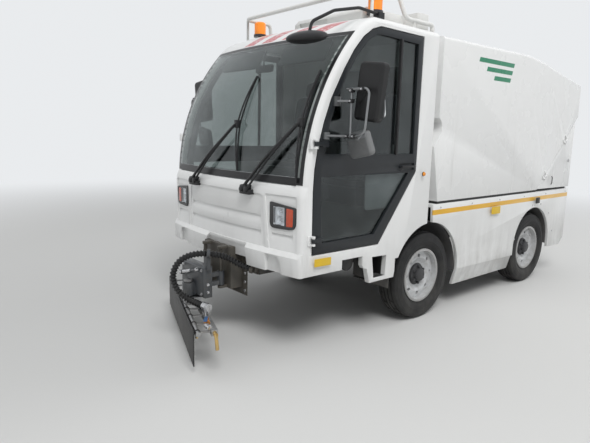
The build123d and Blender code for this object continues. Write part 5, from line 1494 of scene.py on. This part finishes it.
class OBJECT_OT_washer_bar_fittings(bpy.types.Operator):
    """Couplings, valves, clamps and bolts of the spray bar and its carriage"""

    bl_idname = "object.washer_bar_fittings"
    bl_label = "Bar fittings"

    def execute(self, context):
        bend, end = Vector(DROP_ROUTE[-2]), Vector(DROP_ROUTE[-1])
        way = (end - bend).normalized()
        chrome = [stand(turned(HOSE_NUT, 28), end - way * 0.012, way.orthogonal(), way)]
        for reach in (0.030, 0.042, 0.054):
            chrome.append(stand(turned(HOSE_COLLAR, 24), end + way * (reach - 0.012), way.orthogonal(), way))
        chrome.append(along_bar(turned(UNION, 20), 0.585, -0.030, 0.300, (1.0, -0.25, 0.0)))
        chrome.append(pipe([on_bar(*place) for place in BYPASS], 0.009))
        ready(fused(chrome), "bar_couplings", "bar", "bright_steel")
        valve = [
            along_bar(turned(VALVE_BODY, 8), 0.515, -0.045, 0.300),
            along_bar(turned(VALVE_STEM, 12), 0.534, -0.045, 0.305, UP),
            along_bar(turned(VALVE_PLUG, 6), 0.652, -0.072, 0.272),
        ]
        ready(fused(valve), "bar_valve", "bar", "valve_bronze")
        handle = cut_sheet([rounded(HANDLE_OUTLINE, 0.008)], 0.005, 0.0015)
        stand(handle, on_bar(0.545, -0.040, 0.341), BAR_LEFT * 0.95 + BAR_AHEAD * 0.3, UP)
        ready(handle, "valve_handle", "bar", "handle_blue")
        self.clamps()
        self.carriage()
        return {"FINISHED"}

    def clamps(self):
        """Pipe clamps where the ties carry the spray pipe, with their bolts."""
        rings, bolts = [], []
        for i in range(BAR_TIES):
            u = TIE_SPAN * (i / (BAR_TIES - 1) - 0.5)
            rings.append(along_bar(turned(PIPE_CLAMP, 20, ring=True), u, 0.036, 0.272))
            bolts.append(along_bar(hexagon_bolt(0.008, 0.008), u, -0.072, 0.2932, UP))
        ready(fused(rings), "pipe_clamps", "bar", "trim_black")
        ready(fused(bolts), "bar_bolts", "bar", "bright_steel", 30.0)

    def carriage(self):
        """Bolts on the head box and the mount, and the head's swing rod with its ball ends."""
        bolts = [bolt_at((1.774, y, z)) for y in (-0.135, 0.135) for z in (0.365, 0.550)]
        bolts += [bolt_at((1.737, 0.165, z), 0.012, 0.010, AHEAD, LEFT) for z in (0.380, 0.440)]
        rod = [stand(turned(BALL_END, 20), spot, LEFT, AHEAD) for spot in (ROD_HIGH, ROD_LOW)]
        way = (ROD_HIGH - ROD_LOW).normalized()
        rod.append(stand(turned(ROD_SLEEVE, 20), ROD_LOW + way * 0.03, AHEAD, way))
        ready(fused(rod), "swing_rod", "bar_carriage", "bright_steel")
        ready(fused(bolts), "carriage_bolts", "bar_carriage", "bright_steel", 30.0)
        plates = [bolt_at((1.446, y, z)) for y in (-0.235, 0.235) for z in (0.36, 0.43, 0.50)]
        ready(fused(plates), "mount_bolts", "vehicle", "bright_steel", 30.0)


# Each wiper: its foot off the middle, and the blade's low end, pivot and top as (off the middle, height)
WIPERS = (
    (-0.395, (0.195, 1.292), (0.134, 1.642), (0.140, 2.000)),
    (0.350, (0.810, 1.250), (0.791, 1.656), (0.779, 2.005)),
)
# Each wiper's two arms: how far off the foot, radius, how far off the screen
ARMS = ((-0.028, 0.0115, 0.050), (0.030, 0.0085, 0.046))
# How far the blade's bow stands off the screen along its length
BOW_OFFS = (0.014, 0.020, 0.026, 0.030, 0.031, 0.030, 0.026, 0.020, 0.014)
ARM_BOSS = ((0.017, 0.0), (0.020, 0.003), (0.020, 0.016), (0.012, 0.020))
# The windscreen's section in the middle: low end, high end, how far it bulges off the line between them
SCREEN_LOW = Vector((1.494, 1.229))
SCREEN_HIGH = Vector((1.057, 2.284))
SCREEN_BULGE = 0.102


def screen_place(y, z, off):
    """The station that lies off the windscreen's bowed skin, at a distance off the middle and a height."""
    chord = SCREEN_HIGH - SCREEN_LOW
    radius = chord.length ** 2 / (8 * SCREEN_BULGE) + SCREEN_BULGE / 2
    inward = Vector((-chord.y, chord.x)) / chord.length
    centre = (SCREEN_LOW + SCREEN_HIGH) / 2 + inward * (radius - SCREEN_BULGE)
    reach = centre.x + math.sqrt((radius + off) ** 2 - (z - centre.y) ** 2) - (NOSE_X - NOSE_BOW)
    return (math.sqrt(reach ** 2 - y ** 2) + NOSE_X - NOSE_BOW, y, z)


class OBJECT_OT_washer_wipers(bpy.types.Operator):
    """The two wipers: feet, twin arms, heads and blades along the screen"""

    bl_idname = "object.washer_wipers"
    bl_label = "Wipers"

    def execute(self, context):
        metal, blades = [], []
        for foot, low, pivot, top in WIPERS:
            metal.append(boxy((1.490, foot - 0.060, 1.135), (1.546, foot + 0.060, 1.172), 0.007))
            metal.append(boxy((1.486, foot - 0.052, 1.160), (1.552, foot + 0.030, 1.205), 0.012))
            for shift, radius, off in ARMS:
                root = Vector((1.545, foot + shift, 1.172))
                head = Vector(screen_place(pivot[0] + shift * 0.35, pivot[1] - 0.005 + shift * 0.4, off))
                middle = Vector(screen_place(*(((root + head) / 2).yz), off + 0.012))
                line = (root, root.lerp(middle, 0.6), middle, middle.lerp(head, 0.6), head)
                metal.append(pipe(line, radius))
                metal.append(stand(turned(ARM_BOSS, 20), (1.540, foot + shift, 1.172), LEFT, (1, 0, 0.1)))
            spot = Vector(screen_place(*pivot, 0.034))
            under, over = Vector((0.016, 0.020, 0.034)), Vector((0.016, 0.020, 0.026))
            metal.append(boxy(spot - under, spot + over, 0.006))
            low, pivot, top = Vector(low), Vector(pivot), Vector(top)
            places = [low.lerp(pivot, k / 4) for k in range(4)] + [pivot.lerp(top, k / 4) for k in range(5)]
            blades.append(pipe([screen_place(*place, 0.008) for place in places], 0.0065))
            metal.append(pipe([screen_place(*place, off) for place, off in zip(places, BOW_OFFS)], 0.0068))
        wipers = ready(fused(metal), "wiper_arms", body_of("wipers"), "trim_black")
        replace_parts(wipers, "wipers")
        ready(fused(blades), "wiper_blades", body_of("wipers"), "seal_rubber")
        return {"FINISHED"}


# Pads of a seat: name, size, place of its middle, how far it leans back, where its sewn channels run
SEAT_PADS = (
    ("cushion", (0.472, 0.462, 0.094), (0.460, 1.265), 0.0, 0.13),
    ("back", (0.094, 0.452, 0.642), (0.245, 1.600), 12.0, 0.13),
    ("headrest", (0.066, 0.244, 0.134), (0.168, 1.990), 12.0, 0.0),
)
SEAT_SIDE = 0.40
# Low and high corner, counted from the seat's middle line, and eased edge
SEAT_BLOCKS = (
    ((0.262, -0.185, 1.001), (0.610, 0.185, 1.150), 0.012),
    ((0.250, -0.200, 1.150), (0.625, 0.200, 1.208), 0.018),
    ((0.215, -0.225, 1.190), (0.330, -0.205, 1.330), 0.008),
    ((0.215, 0.205, 1.190), (0.330, 0.225, 1.330), 0.008),
)
POST_SHIFTS = (-0.055, 0.055)
# The line of a headrest's post: station, height
POST_LINE = ((0.185, 1.880), (0.174, 1.935), (0.166, 1.975))
CLOTH_CELL = 0.008
SWELL = 0.016
PULL_IN = 0.004
CHANNEL_DEPTH = 0.005
CHANNEL_HALF = 0.0065


class OBJECT_OT_washer_seats(bpy.types.Operator):
    """The two seats: filled pads on their bases, with the posts of the headrests"""

    bl_idname = "object.washer_seats"
    bl_label = "Seats"

    def execute(self, context):
        bases = []
        for y in (-SEAT_SIDE, SEAT_SIDE):
            aside = Vector((0.0, y, 0.0))
            for low, high, edge in SEAT_BLOCKS:
                bases.append(boxy(Vector(low) + aside, Vector(high) + aside, edge))
            bases += [pipe([(x, y + shift, z) for x, z in POST_LINE], 0.006) for shift in POST_SHIFTS]
        base = ready(fused(bases), "seat_bases", body_of("seats"), "trim_black")
        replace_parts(base, "seats")
        for name, size, (x, z), lean, channel in SEAT_PADS:
            pad = self.filled(context, size, channel)
            sine, cosine = math.sin(math.radians(lean)), math.cos(math.radians(lean))
            for side, y in (("right", -SEAT_SIDE), ("left", SEAT_SIDE)):
                piece = stand(copied(pad), (x, y, z), (cosine, 0.0, sine), (-sine, 0.0, cosine))
                ready(piece, f"seat_{name}_{side}", body_of("seats"), "seat_cloth", 60.0)
                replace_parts(piece, "seats")
            bpy.data.objects.remove(pad)
        return {"FINISHED"}

    def filled(self, context, size, channel):
        """A closed pad blown up a little by its filling, with sewn channels pressed in along it."""
        drop_selection()
        bpy.ops.mesh.primitive_cube_add(size=1.0, location=(0.0, 0.0, 0.0))
        pad = context.object
        pad.scale = size
        ease(settle(pad), min(size) * 0.32, 4)
        modified(pad, "REMESH", mode="VOXEL", voxel_size=CLOTH_CELL)
        self.crown(pad, size)
        modified(pad, "SUBSURF", levels=1, render_levels=1)
        if channel:
            outward = [vertex.normal.copy() for vertex in pad.data.vertices]
            for vertex, normal in zip(pad.data.vertices, outward):
                near = (abs(vertex.co.y) - channel) / CHANNEL_HALF
                vertex.co -= normal * CHANNEL_DEPTH * math.exp(-near * near)
        return pad

    def crown(self, pad, size):
        """Swells each wide face towards its middle and pulls the sides in between the corners."""
        half = Vector(size) / 2
        outward = [vertex.normal.copy() for vertex in pad.data.vertices]
        for vertex, normal in zip(pad.data.vertices, outward):
            free = sorted(1.0 - min(1.0, abs(c) / h) ** 2 for c, h in zip(vertex.co, half))
            vertex.co += normal * (SWELL * free[1] * free[2] ** 0.5 - PULL_IN)


KEYHOLE = ((0.013, 0.0), (0.013, 0.003), (0.010, 0.0045), (0.004, 0.0045))


class OBJECT_OT_washer_cab_trim(bpy.types.Operator):
    """Door handles, seals and cards, sun visors and the mirror inside the screen"""

    bl_idname = "object.washer_cab_trim"
    bl_label = "Cab trim"

    def execute(self, context):
        grip = frame_outline((0.270, 1.331), (0.444, 1.349))
        handle = fused([
            side_plate(grip, 0.008, 0.010, HALF_WIDTH - 0.003, 0.003),
            on_side(KEYHOLE, 20, 0.428, 1.322, -0.0125),
        ])
        both_sides(handle, "door_handle", ON_DOORS, "trim_black")
        divider = boxy((0.490, HALF_WIDTH - 0.034, 1.432), (0.511, HALF_WIDTH - 0.010, 2.286))
        both_sides(divider, "pane_divider", ON_DOORS, "seal_rubber")
        card = cut_sheet([rounded(frame_outline((0.30, 1.02), (0.80, 1.36)), 0.03)], 0.010, 0.003)
        stand(card, (0.0, HALF_WIDTH - 0.052, 0.0), AHEAD, RIGHT)
        both_sides(card, "door_card", ON_DOORS, "liner_pale")
        boards = []
        for y in (-0.40, 0.40):
            board = cut_sheet([rounded(frame_outline((-0.27, -0.085), (0.27, 0.085)), 0.03)], 0.018, 0.006)
            boards.append(stand(board, (1.035, y, 2.170), LEFT, (1.0, 0.0, 0.55)))
        ready(fused(boards), "sun_visors", "vehicle", "visor_grey")
        glass = cut_sheet([rounded(frame_outline((-0.11, -0.03), (0.11, 0.03)), 0.02)], 0.016, 0.004)
        stand(glass, (1.105, 0.0, 2.080), LEFT, (-1.0, 0.0, -0.15))
        stem = pipe(((1.110, 0.0, 2.085), (1.120, 0.0, 2.150), (1.085, 0.0, 2.215)), 0.006)
        ready(fused([glass, stem]), "inside_mirror", "vehicle", "trim_black")
        return {"FINISHED"}


OPERATORS = (
    SCENE_OT_washer_stage,
    OBJECT_OT_washer_hoses,
    OBJECT_OT_washer_skins,
    OBJECT_OT_washer_nose,
    OBJECT_OT_washer_tyres,
    OBJECT_OT_washer_lamps,
    OBJECT_OT_washer_side_fittings,
    OBJECT_OT_washer_mirror_fittings,
    OBJECT_OT_washer_bar_fittings,
    OBJECT_OT_washer_wipers,
    OBJECT_OT_washer_seats,
    OBJECT_OT_washer_cab_trim,
)


class VIEW3D_PT_washer(bpy.types.Panel):
    """Lists the truck's pieces in the sidebar"""

    bl_idname = "VIEW3D_PT_washer"
    bl_label = "Washer truck"
    bl_space_type = "VIEW_3D"
    bl_region_type = "UI"
    bl_category = "Washer truck"

    def draw(self, context):
        for operator in OPERATORS:
            self.layout.operator(operator.bl_idname)


GROUPS = (
    ("washer_paint", WasherPaint),
    ("washer_hose", WasherHose),
    ("washer_stage", WasherStage),
)


def register():
    for name, group in GROUPS:
        bpy.utils.register_class(group)
        setattr(bpy.types.Scene, name, bpy.props.PointerProperty(type=group))
    for operator in OPERATORS:
        bpy.utils.register_class(operator)
    bpy.utils.register_class(VIEW3D_PT_washer)


def unregister():
    bpy.utils.unregister_class(VIEW3D_PT_washer)
    for operator in reversed(OPERATORS):
        bpy.utils.unregister_class(operator)
    for name, group in reversed(GROUPS):
        delattr(bpy.types.Scene, name)
        bpy.utils.unregister_class(group)


def main():
    """Makes the whole truck, one operator after another."""
    register()
    for operator in OPERATORS:
        area, call = operator.bl_idname.split(".")
        getattr(getattr(bpy.ops, area), call)()
    drop_selection()


if __name__ == "__main__":
    main()
